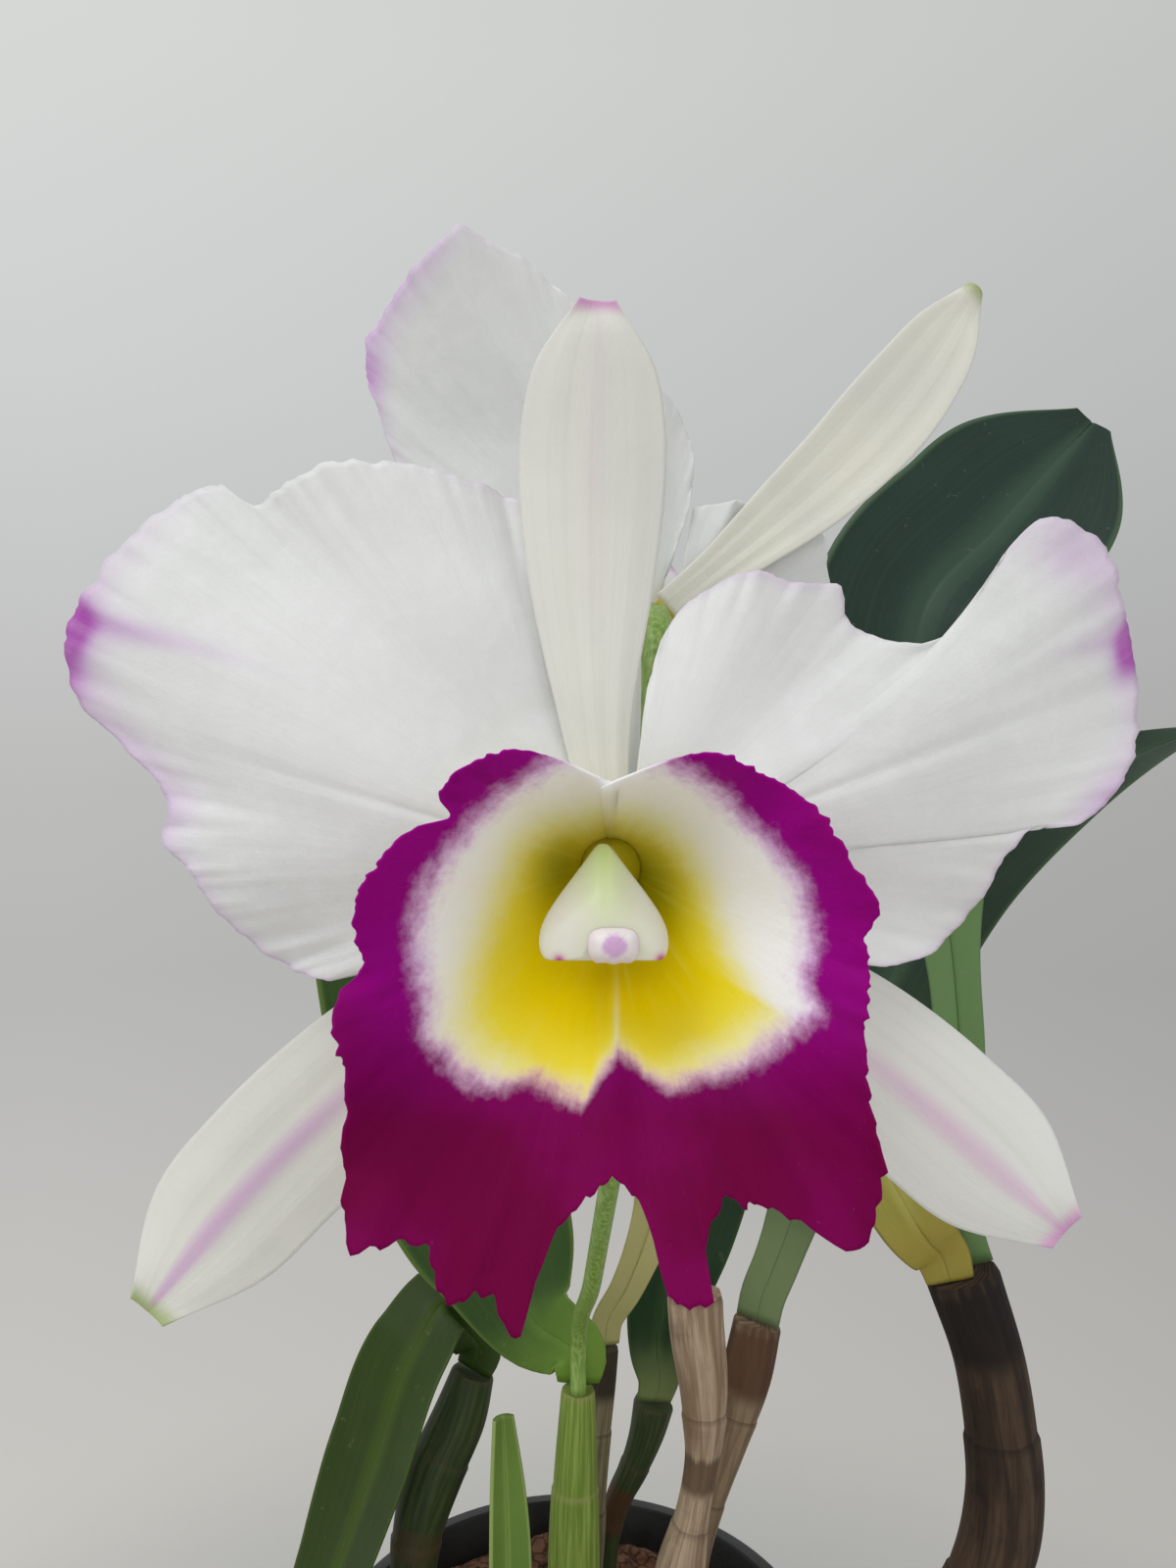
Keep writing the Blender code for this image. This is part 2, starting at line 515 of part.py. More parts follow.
def pot(material):
    """The pot: tapered wall, band round the rim, flat floor with drain holes."""
    band_foot = POT_HEIGHT - RIM_BAND_HEIGHT
    band_radius = POT_TOP_RADIUS + RIM_BAND_STEP
    taper = (POT_TOP_RADIUS - POT_BOTTOM_RADIUS) / POT_HEIGHT
    profile = [
        (POT_BOTTOM_RADIUS - 1.0, 0.0), (POT_BOTTOM_RADIUS, 1.0),
        (POT_BOTTOM_RADIUS + taper * band_foot, band_foot), (band_radius - 0.4, band_foot + 0.4),
        (band_radius, POT_HEIGHT - 1.0), (band_radius - 1.0, POT_HEIGHT),
        (POT_TOP_RADIUS - POT_WALL, POT_HEIGHT - 0.6),
        (POT_BOTTOM_RADIUS - POT_WALL, POT_WALL + FLOOR_LIFT),
    ]
    body = loft("pot", [circle(radius, height, 40, POT_X) for radius, height in profile], material)
    drains = []
    for i in range(DRAIN_COUNT):
        turn = 2 * math.pi * i / DRAIN_COUNT
        ring = [(x + DRAIN_CIRCLE * math.cos(turn), y + DRAIN_CIRCLE * math.sin(turn))
                for x, y, _ in circle(DRAIN_RADIUS, 0, 10, POT_X)]
        drains.append(loft("drain", [[(x, y, -2) for x, y in ring], [(x, y, 5) for x, y in ring]], material))
    fuse(body, drains, "DIFFERENCE")


def bark_chunk(rng, centre, material):
    """One angular piece of bark, a hull of random points."""
    shape = bmesh.new()
    turn = Matrix.Rotation(rng.uniform(0, math.tau), 3, "Z") @ Matrix.Rotation(rng.uniform(-0.5, 0.5), 3, "X")
    for _ in range(CHUNK_POINTS):
        point = Vector(rng.uniform(-1, 1) for _ in range(3)).normalized() * Vector(CHUNK_HALF_SIZES)
        shape.verts.new((Vector(centre) + turn @ point) * MM)
    hull = bmesh.ops.convex_hull(shape, input=shape.verts)
    inside = set(hull["geom_interior"]) | set(hull["geom_unused"])
    spare = [item for item in inside if isinstance(item, bmesh.types.BMVert)]
    bmesh.ops.delete(shape, geom=spare, context="VERTS")
    bmesh.ops.recalc_face_normals(shape, faces=shape.faces)
    return add_object("chunk", shape, material)


def bark(material):
    """The potting bark: a filled body with chunks on top, and a hole for each stem."""
    taper = (POT_TOP_RADIUS - POT_BOTTOM_RADIUS) / POT_HEIGHT
    inner = POT_BOTTOM_RADIUS - POT_WALL - 2 * GAP
    floor = POT_WALL + FLOOR_LIFT + GAP
    edge = inner + taper * BARK_EDGE_HEIGHT
    profile = [(inner, floor), (edge, BARK_EDGE_HEIGHT), (edge * 0.75, BARK_EDGE_HEIGHT + 4.5),
               (edge * 0.35, BARK_DOME_HEIGHT)]
    body = loft("bark", [circle(radius, height, 28, POT_X) for radius, height in profile], material)
    rng = random.Random(7)
    chunks = []
    for i in range(CHUNK_COUNT):
        share = math.sqrt((i + 0.5) / CHUNK_COUNT)
        reach = CHUNK_REACH * share
        turn = 2.4 * i + rng.uniform(-0.3, 0.3)
        height = BARK_DOME_HEIGHT - 6.5 * share**2 + rng.uniform(-1, 2)
        centre = (POT_X + reach * math.cos(turn), reach * math.sin(turn), height)
        chunks.append(bark_chunk(rng, centre, material))
    fuse(body, chunks)
    holes = [
        sweep("hole", bulb_route(name, FOOT_HEIGHT - GAP), [radius + GAP for radius in radii], 12, 10,
              material, sheath_rings)
        for name, (_, _, radii) in BULBS.items()
    ]
    x, y = SHOOT_PLACE
    rings = [
        circle(SHOOT_HOLE_RADIUS, FOOT_HEIGHT - GAP, 12, x, y),
        circle(SHOOT_HOLE_RADIUS + 3, POT_HEIGHT + 12, 12, x, y),
    ]
    holes.append(loft("hole", rings, material))
    fuse(body, holes, "DIFFERENCE")
    keep_largest(body)


def main():
    for obj in list(bpy.data.objects):
        bpy.data.objects.remove(obj)
    pot(finish_material("black_plastic", (0.012, 0.012, 0.014), 0.38))
    bark(finish_material("pine_bark", (0.09, 0.045, 0.028), 0.9))
    fresh = finish_material("fresh_green", (0.18, 0.32, 0.05), 0.45)
    dark = finish_material("leaf_green", (0.045, 0.11, 0.035), 0.42)
    yellow = finish_material("leaf_yellow", (0.45, 0.40, 0.10), 0.5)
    dry = finish_material("dry_sheath", (0.17, 0.11, 0.07), 0.75)
    green_bulbs = {"new_pseudobulb": fresh, "left_pseudobulb": dark, "green_pseudobulb": dark}
    for name in BULBS:
        pseudobulb(name, green_bulbs.get(name, dry))
    for name in LEAVES:
        leaf(name, yellow if name in ("yellowing_leaf", "yellow_green_leaf") else dark)
    young_shoot(fresh)
    flower_stem(fresh)
    finishes = {
        "tepal": finish_material("petal_white", (0.80, 0.80, 0.79), 0.5),
        "lip": finish_material("lip_magenta", (0.22, 0.004, 0.12), 0.5),
        "column": finish_material("column_cream", (0.74, 0.80, 0.55), 0.4),
        "cap": finish_material("anther_pink", (0.75, 0.62, 0.74), 0.4),
    }
    front = Matrix.Translation(Vector(FRONT_JUNCTION) * MM)
    front_petals = {"left_petal": (ROUND_PETAL, PETAL_TUCK), "right_petal": (BAY_PETAL, 0.0)}
    bloom("front", front, (DORSAL_SEPAL, DORSAL_WIDTHS), front_petals, 64, finishes)
    away = Matrix.Rotation(math.radians(BACK_ROLL), 4, "Y") @ Matrix.Rotation(math.pi, 4, "Z")
    back = Matrix.Translation(Vector(BACK_JUNCTION) * MM) @ away
    back_petals = {"left_petal": (BACK_LOWER_PETAL, 0.0), "right_petal": (mirrored(BACK_UPPER_PETAL), 0.0)}
    bloom("back", back, (BACK_DORSAL_SEPAL, BACK_DORSAL_WIDTHS), back_petals, 48, finishes)
    for obj in bpy.context.scene.objects:
        obj.data.transform(Matrix.Translation((-POT_X * MM, 0, 0)))


main()
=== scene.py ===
"""A cattleya orchid in its pot, with two large blooms on one stem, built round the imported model.

Lengths in this script are in millimetres, and MM turns them into Blender's metres.
"""

import json
import math

import bpy
import numpy as np
from mathutils import Matrix, Vector, noise

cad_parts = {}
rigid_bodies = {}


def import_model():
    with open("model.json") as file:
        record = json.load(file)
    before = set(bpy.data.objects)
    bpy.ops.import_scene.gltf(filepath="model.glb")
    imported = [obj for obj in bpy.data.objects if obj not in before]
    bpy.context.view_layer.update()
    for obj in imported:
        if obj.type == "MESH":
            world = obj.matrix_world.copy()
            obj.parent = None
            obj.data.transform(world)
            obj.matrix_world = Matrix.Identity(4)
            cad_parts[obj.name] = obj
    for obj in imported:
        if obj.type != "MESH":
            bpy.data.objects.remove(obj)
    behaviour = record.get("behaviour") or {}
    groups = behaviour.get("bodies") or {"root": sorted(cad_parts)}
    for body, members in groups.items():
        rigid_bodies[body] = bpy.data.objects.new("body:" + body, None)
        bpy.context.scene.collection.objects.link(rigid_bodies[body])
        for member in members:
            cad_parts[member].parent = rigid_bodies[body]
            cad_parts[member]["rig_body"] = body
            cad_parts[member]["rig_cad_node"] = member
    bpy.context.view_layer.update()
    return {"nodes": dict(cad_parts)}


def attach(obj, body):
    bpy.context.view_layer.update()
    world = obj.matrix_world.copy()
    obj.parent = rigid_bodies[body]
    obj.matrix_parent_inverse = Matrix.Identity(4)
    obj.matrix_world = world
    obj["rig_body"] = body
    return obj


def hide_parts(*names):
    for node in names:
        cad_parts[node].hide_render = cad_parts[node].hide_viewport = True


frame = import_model()
MM = 0.001
# The plant stands off the pot's middle, so its pieces are written from its own axis and moved over.
PLANT_X = 14
PLANT = Matrix.Translation((PLANT_X * MM, 0, 0))


# View and light: a phone held level, close in front of the bloom, before a pale wall.
# Soft daylight comes from the upper left, and the floor fades out into the backdrop.
def paint(red, green, blue):
    """A colour named by its 8-bit screen values, as the linear values that a shader takes."""
    return tuple((part / 255) ** 2.2 for part in (red, green, blue))


LENS_PLACE = (PLANT_X - 10, -285, 295)
LIGHT_AIM = (0, -60, 240)
camera = bpy.data.objects.new("camera", bpy.data.cameras.new("camera"))
camera.location = Vector(LENS_PLACE) * MM
camera.rotation_euler = (math.pi / 2, 0, 0)
camera.data.sensor_width = 36
camera.data.lens = 27.07
camera.data.clip_start = 10 * MM
bpy.context.scene.collection.objects.link(camera)
bpy.context.scene.camera = camera
bpy.context.scene.view_settings.view_transform = "Standard"

for light_name, place, size, watts in (
    ("window", (-430, -400, 1000), 560, 2.75),
    ("room", (620, -520, 420), 600, 0.6),
    ("page", (-10, -700, 300), 400, 0.45),
):
    light = bpy.data.objects.new(light_name, bpy.data.lights.new(light_name, "AREA"))
    light.data.size = size * MM
    light.data.energy = watts
    light.location = Vector(place) * MM
    light.rotation_euler = (Vector(LIGHT_AIM) - Vector(place)).to_track_quat("-Z", "Y").to_euler()
    bpy.context.scene.collection.objects.link(light)

backdrop = bpy.data.worlds.new("backdrop")
backdrop.use_nodes = True
bpy.context.scene.world = backdrop
sky = backdrop.node_tree.nodes
direction_in = sky.new("ShaderNodeTexCoord")
towards = sky.new("ShaderNodeSeparateXYZ")
fade = sky.new("ShaderNodeValToRGB")
fade.color_ramp.elements.remove(fade.color_ramp.elements[1])
# The wall's grey by how steeply one looks up, from -1 straight down to 1 straight up. The greys are painted
# shade on the wall, darkest just below level, and shade_right darkens it towards the right.
WALL_GREYS = [
    (-0.5, (200, 198, 193)), (-0.15, (182, 182, 181)), (0.0, (187, 187, 186)), (0.3, (205, 207, 207)),
    (0.52, (214, 216, 214)),
]
for height, grey in WALL_GREYS:
    stop = fade.color_ramp.elements.new((height + 1) / 2)
    stop.color = (*paint(*grey), 1)
fade.color_ramp.elements.remove(fade.color_ramp.elements[0])
lift, shade_right = sky.new("ShaderNodeMapRange"), sky.new("ShaderNodeMapRange")
lift.inputs["From Min"].default_value = -1.0
for socket, number in (("From Min", -0.4), ("From Max", 0.45), ("To Min", 1.0), ("To Max", 0.8)):
    shade_right.inputs[socket].default_value = number
for source, target in (
    (direction_in.outputs["Generated"], towards.inputs[0]),
    (towards.outputs["Z"], lift.inputs["Value"]),
    (towards.outputs["X"], shade_right.inputs["Value"]),
    (lift.outputs["Result"], fade.inputs["Fac"]),
    (fade.outputs["Color"], sky["Background"].inputs["Color"]),
    (shade_right.outputs["Result"], sky["Background"].inputs["Strength"]),
):
    backdrop.node_tree.links.new(source, target)


class Value:
    """A number from a finish's nodes. Python's operators on it add Math nodes."""

    def __init__(self, finish, socket):
        self.finish = finish
        self.socket = socket

    def maths(self, operation, *numbers):
        return self.finish.node("ShaderNodeMath", {"operation": operation}, dict(enumerate(numbers)))

    def __add__(self, other):
        return self.maths("ADD", self, other)

    def __sub__(self, other):
        return self.maths("SUBTRACT", self, other)

    def __rsub__(self, other):
        return self.maths("SUBTRACT", other, self)

    def __mul__(self, other):
        return self.maths("MULTIPLY", self, other)

    def __pow__(self, other):
        return self.maths("POWER", self, other)

    __radd__ = __add__
    __rmul__ = __mul__

    def ease(self, low, high):
        """0 below low and 1 above high, smooth between; low may be the greater one."""
        inputs = {"Value": self, "From Min": low, "From Max": high}
        return self.finish.node("ShaderNodeMapRange", {"interpolation_type": "SMOOTHSTEP"}, inputs)


class Finish:
    """A procedural finish made of shader nodes round one Principled shader."""

    def __init__(self, name, **sockets):
        self.material = bpy.data.materials.new(name)
        self.material.use_nodes = True
        self.tree = self.material.node_tree
        self.shader = self.tree.nodes["Principled BSDF"]
        self.cover(**sockets)
        self.place = self.node("ShaderNodeTexCoord", output="Object")
        self.flat = self.node("ShaderNodeTexCoord", output="UV")
        self.x, self.y, self.z = (value * (1 / MM) for value in self.split(self.place))
        self.u, self.v, _ = self.split(self.flat)

    def node(self, kind, settings=None, inputs=None, output=0):
        """Add a node: its settings first, then the numbers or links of its sockets."""
        node = self.tree.nodes.new(kind)
        for setting, choice in (settings or {}).items():
            setattr(node, setting, choice)
        for socket, number in (inputs or {}).items():
            self.feed(node.inputs[socket], number)
        return Value(self, node.outputs[output])

    def feed(self, socket, number):
        if isinstance(number, Value):
            self.tree.links.new(number.socket, socket)
        elif socket.type == "RGBA":
            socket.default_value = (*number, 1.0)
        else:
            socket.default_value = number

    def cover(self, **sockets):
        """Set or link sockets of the shader, named with underscores for spaces."""
        for name, number in sockets.items():
            self.feed(self.shader.inputs[name.replace("_", " ")], number)

    def split(self, vector):
        return [self.node("ShaderNodeSeparateXYZ", None, {0: vector}, axis) for axis in range(3)]

    def join(self, x, y, z=0.0):
        return self.node("ShaderNodeCombineXYZ", None, {0: x, 1: y, 2: z})

    def cloud(self, where, scale, detail=2.0, roughness=0.5, distortion=0.0):
        """Noise from 0 to 1, mostly near 0.5."""
        inputs = {"Vector": where, "Scale": scale, "Detail": detail, "Roughness": roughness,
                  "Distortion": distortion}
        return self.node("ShaderNodeTexNoise", None, inputs)

    def cells(self, where, scale, feature="F1"):
        """Distance to the nearest cell point."""
        return self.node("ShaderNodeTexVoronoi", {"feature": feature}, {"Vector": where, "Scale": scale})

    def mark(self, name):
        """A number that the mesh holds at each point."""
        return self.node("ShaderNodeAttribute", {"attribute_name": name}, output="Fac")

    def blend(self, share, first, second):
        """The first colour where share is 0 and the second where it is 1."""
        return self.node("ShaderNodeMix", {"data_type": "RGBA"}, {0: share, 6: first, 7: second}, 2)

    def relief(self, height, depth):
        """A bump whose height of 1 stands depth millimetres proud."""
        inputs = {"Height": height, "Distance": depth * MM, "Strength": 1.0}
        self.cover(Normal=self.node("ShaderNodeBump", None, inputs))


FLOOR_RADIUS, FLOOR_SOLID_RADIUS = 330, 130
floor_finish = Finish("floor_paper", Roughness=0.9)
floor_finish.cover(Base_Color=paint(196, 195, 192))
reach_out = (floor_finish.x ** 2.0 + floor_finish.y ** 2.0) ** 0.5
see_through = floor_finish.node("ShaderNodeBsdfTransparent")
faded = floor_finish.node("ShaderNodeMixShader", None, {
    0: reach_out.ease(FLOOR_RADIUS, FLOOR_SOLID_RADIUS), 1: see_through,
    2: Value(floor_finish, floor_finish.shader.outputs[0])})
floor_finish.feed(floor_finish.tree.nodes["Material Output"].inputs["Surface"], faded)
bpy.ops.mesh.primitive_circle_add(vertices=96, radius=FLOOR_RADIUS * MM, fill_type="NGON",
                                  location=(0, 0, -0.2 * MM))
floor = bpy.context.object
floor.name = "floor"
floor.data.materials.append(floor_finish.material)


# Pot: a black plastic nursery pot, moulded in one piece with a turned-over band round its rim.
# The band's lower edge stands proud of the tapered wall, and drain holes go through the floor.
POT_HEIGHT, POT_TOP_RADIUS, POT_BOTTOM_RADIUS, POT_WALL = 88, 57.5, 43, 1.8
BAND_HEIGHT, BAND_STEP = 8, 2.5
DRAINS, DRAIN_RADIUS, DRAIN_RING = 5, 4, 28


def bare(kind, **where):
    """Add a primitive with nothing else selected, and return its object."""
    bpy.ops.object.select_all(action="DESELECT")
    getattr(bpy.ops.mesh, f"primitive_{kind}_add")(**where)
    return bpy.context.object


def work_on(piece):
    bpy.ops.object.select_all(action="DESELECT")
    piece.select_set(True)
    bpy.context.view_layer.objects.active = piece


def apply_modifier(piece, kind, **settings):
    modifier = piece.modifiers.new(kind.title(), kind)
    for setting, choice in settings.items():
        setattr(modifier, setting, choice)
    work_on(piece)
    bpy.ops.object.modifier_apply(modifier=modifier.name)


def hand_over(piece, name, finish, slot, *nodes):
    """Name a finished piece, give it its finish, and set it in the frame for the nodes it stands for."""
    piece.name = name
    piece.data.name = name
    piece.data.materials.clear()
    piece.data.materials.append(finish.material)
    piece.data.shade_smooth()
    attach(piece, "root")
    if nodes:
        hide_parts(*nodes)


band_foot = POT_HEIGHT - BAND_HEIGHT
band_radius = POT_TOP_RADIUS + BAND_STEP
taper = (POT_TOP_RADIUS - POT_BOTTOM_RADIUS) / POT_HEIGHT
wall_at_band = POT_BOTTOM_RADIUS + taper * band_foot
pot_profile = [
    (0, 0), (POT_BOTTOM_RADIUS - 1.2, 0), (POT_BOTTOM_RADIUS - 0.3, 0.3), (POT_BOTTOM_RADIUS, 1.2),
    (POT_BOTTOM_RADIUS + taper * 12, 12), (POT_BOTTOM_RADIUS + taper * 12.5 + 0.3, 12.6),
    (wall_at_band - 0.1, band_foot - 0.4), (wall_at_band + 0.4, band_foot),
    (band_radius - 0.8, band_foot + 0.2), (band_radius - 0.2, band_foot + 0.7),
    (band_radius, POT_HEIGHT - 1.4), (band_radius - 0.4, POT_HEIGHT - 0.4), (band_radius - 1.2, POT_HEIGHT),
    (POT_TOP_RADIUS - POT_WALL + 0.5, POT_HEIGHT - 0.1), (POT_TOP_RADIUS - POT_WALL, POT_HEIGHT - 0.8),
    (POT_BOTTOM_RADIUS - POT_WALL, POT_WALL + 0.5), (0, POT_WALL + 0.5),
]
pot = bare("plane", size=MM)
pot.data.clear_geometry()
pot.data.from_pydata([(radius * MM, 0, height * MM) for radius, height in pot_profile],
                     [(i, i + 1) for i in range(len(pot_profile) - 1)], [])
bpy.ops.object.mode_set(mode="EDIT")
bpy.ops.mesh.select_all(action="SELECT")
bpy.ops.mesh.spin(steps=128, angle=math.tau, center=(0, 0, 0), axis=(0, 0, 1))
bpy.ops.mesh.select_all(action="SELECT")
bpy.ops.mesh.remove_doubles(threshold=0.01 * MM)
bpy.ops.mesh.normals_make_consistent(inside=False)
bpy.ops.object.mode_set(mode="OBJECT")
for i in range(DRAINS):
    turn = math.tau * i / DRAINS
    drain = bare("cylinder", vertices=32, radius=DRAIN_RADIUS * MM, depth=8 * MM,
                 location=(DRAIN_RING * MM * math.cos(turn), DRAIN_RING * MM * math.sin(turn), 1 * MM))
    apply_modifier(pot, "BOOLEAN", object=drain, operation="DIFFERENCE", solver="EXACT")
    bpy.data.objects.remove(drain)
plastic = Finish("black_plastic", Specular_IOR_Level=0.5)
dust = plastic.cloud(plastic.place, 60, 5, 0.6)
scuffs = plastic.cloud(plastic.join(plastic.x * 0.3, plastic.y * 0.3, plastic.z * 4), 1.2, 3)
dusty = dust.ease(0.45, 0.7) * 0.35
plastic.cover(Base_Color=plastic.blend(dusty, (0.006, 0.0065, 0.007), (0.035, 0.033, 0.028)),
              Roughness=0.3 + scuffs * 0.2 + dusty * 0.4)
plastic.relief(plastic.cloud(plastic.place, 900, 3), 0.05)
hand_over(pot, "nursery_pot", plastic, "black_plastic", "pot")
pot.data.set_sharp_from_angle(angle=math.radians(40))


# Bark: chunks of pine bark fill the pot, rough and split, with dust and chips between them.
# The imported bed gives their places; its copy gets a fine, weathered surface.
BARK_TOP = 74  # above this height the bed is weathered; below it the pot hides it
bark = frame["nodes"]["bark"].copy()
bark.data = frame["nodes"]["bark"].data.copy()
bark.parent = None
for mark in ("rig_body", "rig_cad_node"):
    del bark[mark]
bpy.context.scene.collection.objects.link(bark)
work_on(bark)
bpy.ops.object.mode_set(mode="EDIT")
bpy.ops.mesh.select_all(action="SELECT")
bpy.ops.mesh.remove_doubles(threshold=0.01 * MM)
bpy.ops.object.mode_set(mode="OBJECT")
apply_modifier(bark, "REMESH", mode="VOXEL", voxel_size=0.9 * MM)
for vert, normal in zip(bark.data.vertices, [v.normal.copy() for v in bark.data.vertices]):
    where = Vector(vert.co) / MM
    if where.z > BARK_TOP:
        split = noise.noise(where * Vector((0.55, 0.55, 1.6)))
        crumb = noise.noise(where * 0.9) + 0.5 * noise.noise(where * 2.1)
        vert.co += normal * (0.55 * abs(split) + 0.3 * crumb) * MM
pine = Finish("pine_bark", Specular_IOR_Level=0.3)
tone = pine.cloud(pine.place, 70, 3)
grain = pine.cloud(pine.join(pine.x, pine.y, pine.z * 3), 0.5, 6, 0.7)
crack = pine.cells(pine.place, 260, "DISTANCE_TO_EDGE").ease(0.0, 0.12)
bark_colour = pine.blend(tone.ease(0.35, 0.65), paint(74, 47, 33), paint(124, 88, 66))
bark_colour = pine.blend(grain.ease(0.55, 0.75) * 0.6, bark_colour, paint(160, 130, 104))
bark_colour = pine.blend((1 - crack) * 0.7, bark_colour, paint(28, 19, 15))
pine.cover(Base_Color=bark_colour, Roughness=0.75 + grain * 0.2)
pine.relief(grain + crack * 0.5, 0.5)
hand_over(bark, "bark_bed", pine, "pine_bark", "bark")
bark.data.set_sharp_from_angle(angle=math.radians(60))


# Pseudobulbs: swollen stems that stand in the bark, wrapped in sheaths that dry to brown paper.
# Three of them are still green; a bulb is grooved along its length and ringed at each joint.
FOOT, FOOT_LENGTH = 70, 14
SHEATHS, SHEATH_STEP = 4, 0.06
BULBS = {
    "new_pseudobulb": ((-13, -17), [(-13.2, -17.5, 118), (-12.2, -18, 158)], [3.2, 4.4, 5.9, 5.6, 4.8, 3.6]),
    "left_pseudobulb": (
        (-53, 4), [(-53, 4, 94), (-52, 4, 110), (-47.5, 5, 126), (-42, 7, 138), (-38.5, 8, 149)],
        [3.0, 4.0, 5.0, 6.0, 6.8, 6.6, 5.0],
    ),
    "middle_pseudobulb": ((-10, 14), [(-10, 15, 118), (-6, 15, 152)], [3.0, 3.2, 4.4, 4.8, 4.4, 3.6]),
    "green_pseudobulb": (
        (-6, 24), [(-4.5, 24, 100), (-1.5, 24, 109), (1.5, 24, 115), (5.3, 24, 125), (7.2, 24, 133)],
        [3.0, 3.0, 3.2, 3.4, 4.0, 5.0],
    ),
    "tan_pseudobulb": (
        (9, -12),
        [(9.5, -12, 97), (11.4, -12, 113), (14.6, -12.5, 129), (16.3, -13, 141), (16.5, -13.5, 155),
         (14.8, -14, 172), (14.5, -14, 178)],
        [4.2, 5.4, 6.4, 5.8, 4.0, 3.7, 5.0, 5.8, 6.0],
    ),
    "rear_pseudobulb": (
        (17, 12), [(17.5, 12, 100), (20.5, 12.5, 113), (25.5, 13, 130), (30, 14, 145), (33, 15, 158)],
        [3.2, 3.0, 3.2, 3.8, 4.8, 6.2, 5.8],
    ),
    "curved_pseudobulb": (
        (34, -8),
        [(40, -9, 95), (50, -11, 99), (64, -14, 102.5), (75, -18, 109), (81, -19.5, 120), (83.7, -20, 136),
         (82.7, -20, 150), (80.2, -20, 166), (74.4, -19, 184.5)],
        [3.2, 3.6, 4.4, 5.0, 7.0, 8.2, 8.0, 7.5, 7.2, 7.6],
    ),
}


def through(points, fraction, even=False):
    """The point at a fraction of a smooth curve through the points, by length or by even steps."""
    points = np.array(points, float)
    steps = np.ones(len(points) - 1) if even else np.linalg.norm(np.diff(points, axis=0), axis=1)
    along = np.concatenate([[0.0], np.cumsum(steps)])
    slopes = np.gradient(points, along, axis=0)
    where = fraction * along[-1]
    i = min(int(np.searchsorted(along, where, side="right")) - 1, len(points) - 2)
    span = along[i + 1] - along[i]
    s = (where - along[i]) / span
    start = (1 + 2 * s) * (1 - s) ** 2 * points[i] + s * (1 - s) ** 2 * span * slopes[i]
    return start + s * s * (3 - 2 * s) * points[i + 1] + s * s * (s - 1) * span * slopes[i + 1]


def even_steps(values, fraction):
    """The smoothed value at a fraction of a list whose entries lie at even steps."""
    return float(through([(value,) for value in values], fraction, even=True)[0])


def heading(route, fraction):
    """The direction of a smooth route at a fraction of its length."""
    ahead = Vector(through(route, min(fraction + 0.01, 1)))
    return (ahead - Vector(through(route, max(fraction - 0.01, 0)))).normalized()


def sheet_of(across, along, surface, body=PLANT):
    """A grid bent onto surface(u, v) and moved by body; its UV map keeps u and v."""
    piece = bare("grid", x_subdivisions=across, y_subdivisions=along, size=1)
    for vert in piece.data.vertices:
        vert.co = body @ (Vector(surface(vert.co.x + 0.5, vert.co.y + 0.5)) * MM)
    return piece


def close_tube(piece):
    """Join the long edges of a sheet that was bent round, and cap its two open ends."""
    work_on(piece)
    bpy.ops.object.mode_set(mode="EDIT")
    bpy.ops.mesh.select_all(action="SELECT")
    bpy.ops.mesh.remove_doubles(threshold=0.001 * MM)
    bpy.ops.mesh.select_all(action="DESELECT")
    bpy.ops.mesh.select_non_manifold(extend=False, use_wire=False, use_multi_face=False)
    bpy.ops.mesh.fill_holes(sides=0)
    bpy.ops.mesh.select_all(action="SELECT")
    bpy.ops.mesh.normals_make_consistent(inside=False)
    bpy.ops.object.mode_set(mode="OBJECT")


def sweep(route, radii, sides, rings, relief=lambda turn, t: 1.0):
    """A round body along a route, with radii at even steps and a relief over its skin."""
    frames = []
    side = Vector((1.0, 0.0, 0.0))
    for i in range(rings + 1):
        ahead = heading(route, i / rings)
        side = (side - ahead * side.dot(ahead)).normalized()
        centre = Vector(through(route, i / rings))
        frames.append((centre, side, ahead.cross(side), even_steps(radii, i / rings)))

    def surface(u, v):
        centre, across, third, radius = frames[round(v * rings)]
        turn = math.tau * (u % 1.0)
        return centre + (across * math.cos(turn) + third * math.sin(turn)) * radius * relief(turn, v)

    piece = sheet_of(sides, rings, surface)
    close_tube(piece)
    return piece


def bulb_route(name):
    (x, y), points, _ = BULBS[name]
    return [(x, y, FOOT), (x, y, FOOT + FOOT_LENGTH), *points]


def bulb_relief(seed, wrinkle):
    """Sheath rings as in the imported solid, with grooves along the bulb and wrinkles of wrinkle's share."""
    def relief(turn, t):
        step = 1 + SHEATH_STEP * ((SHEATHS * t) % 1.0)
        around = Vector((math.cos(turn), math.sin(turn), 0))
        groove = noise.noise(around * 2.6 + Vector((seed, 0, t * 1.3)))
        crease = noise.noise(around * 7 + Vector((0, seed, t * 4)))
        return step * (1 + wrinkle * (0.75 * groove + 0.5 * crease))
    return relief


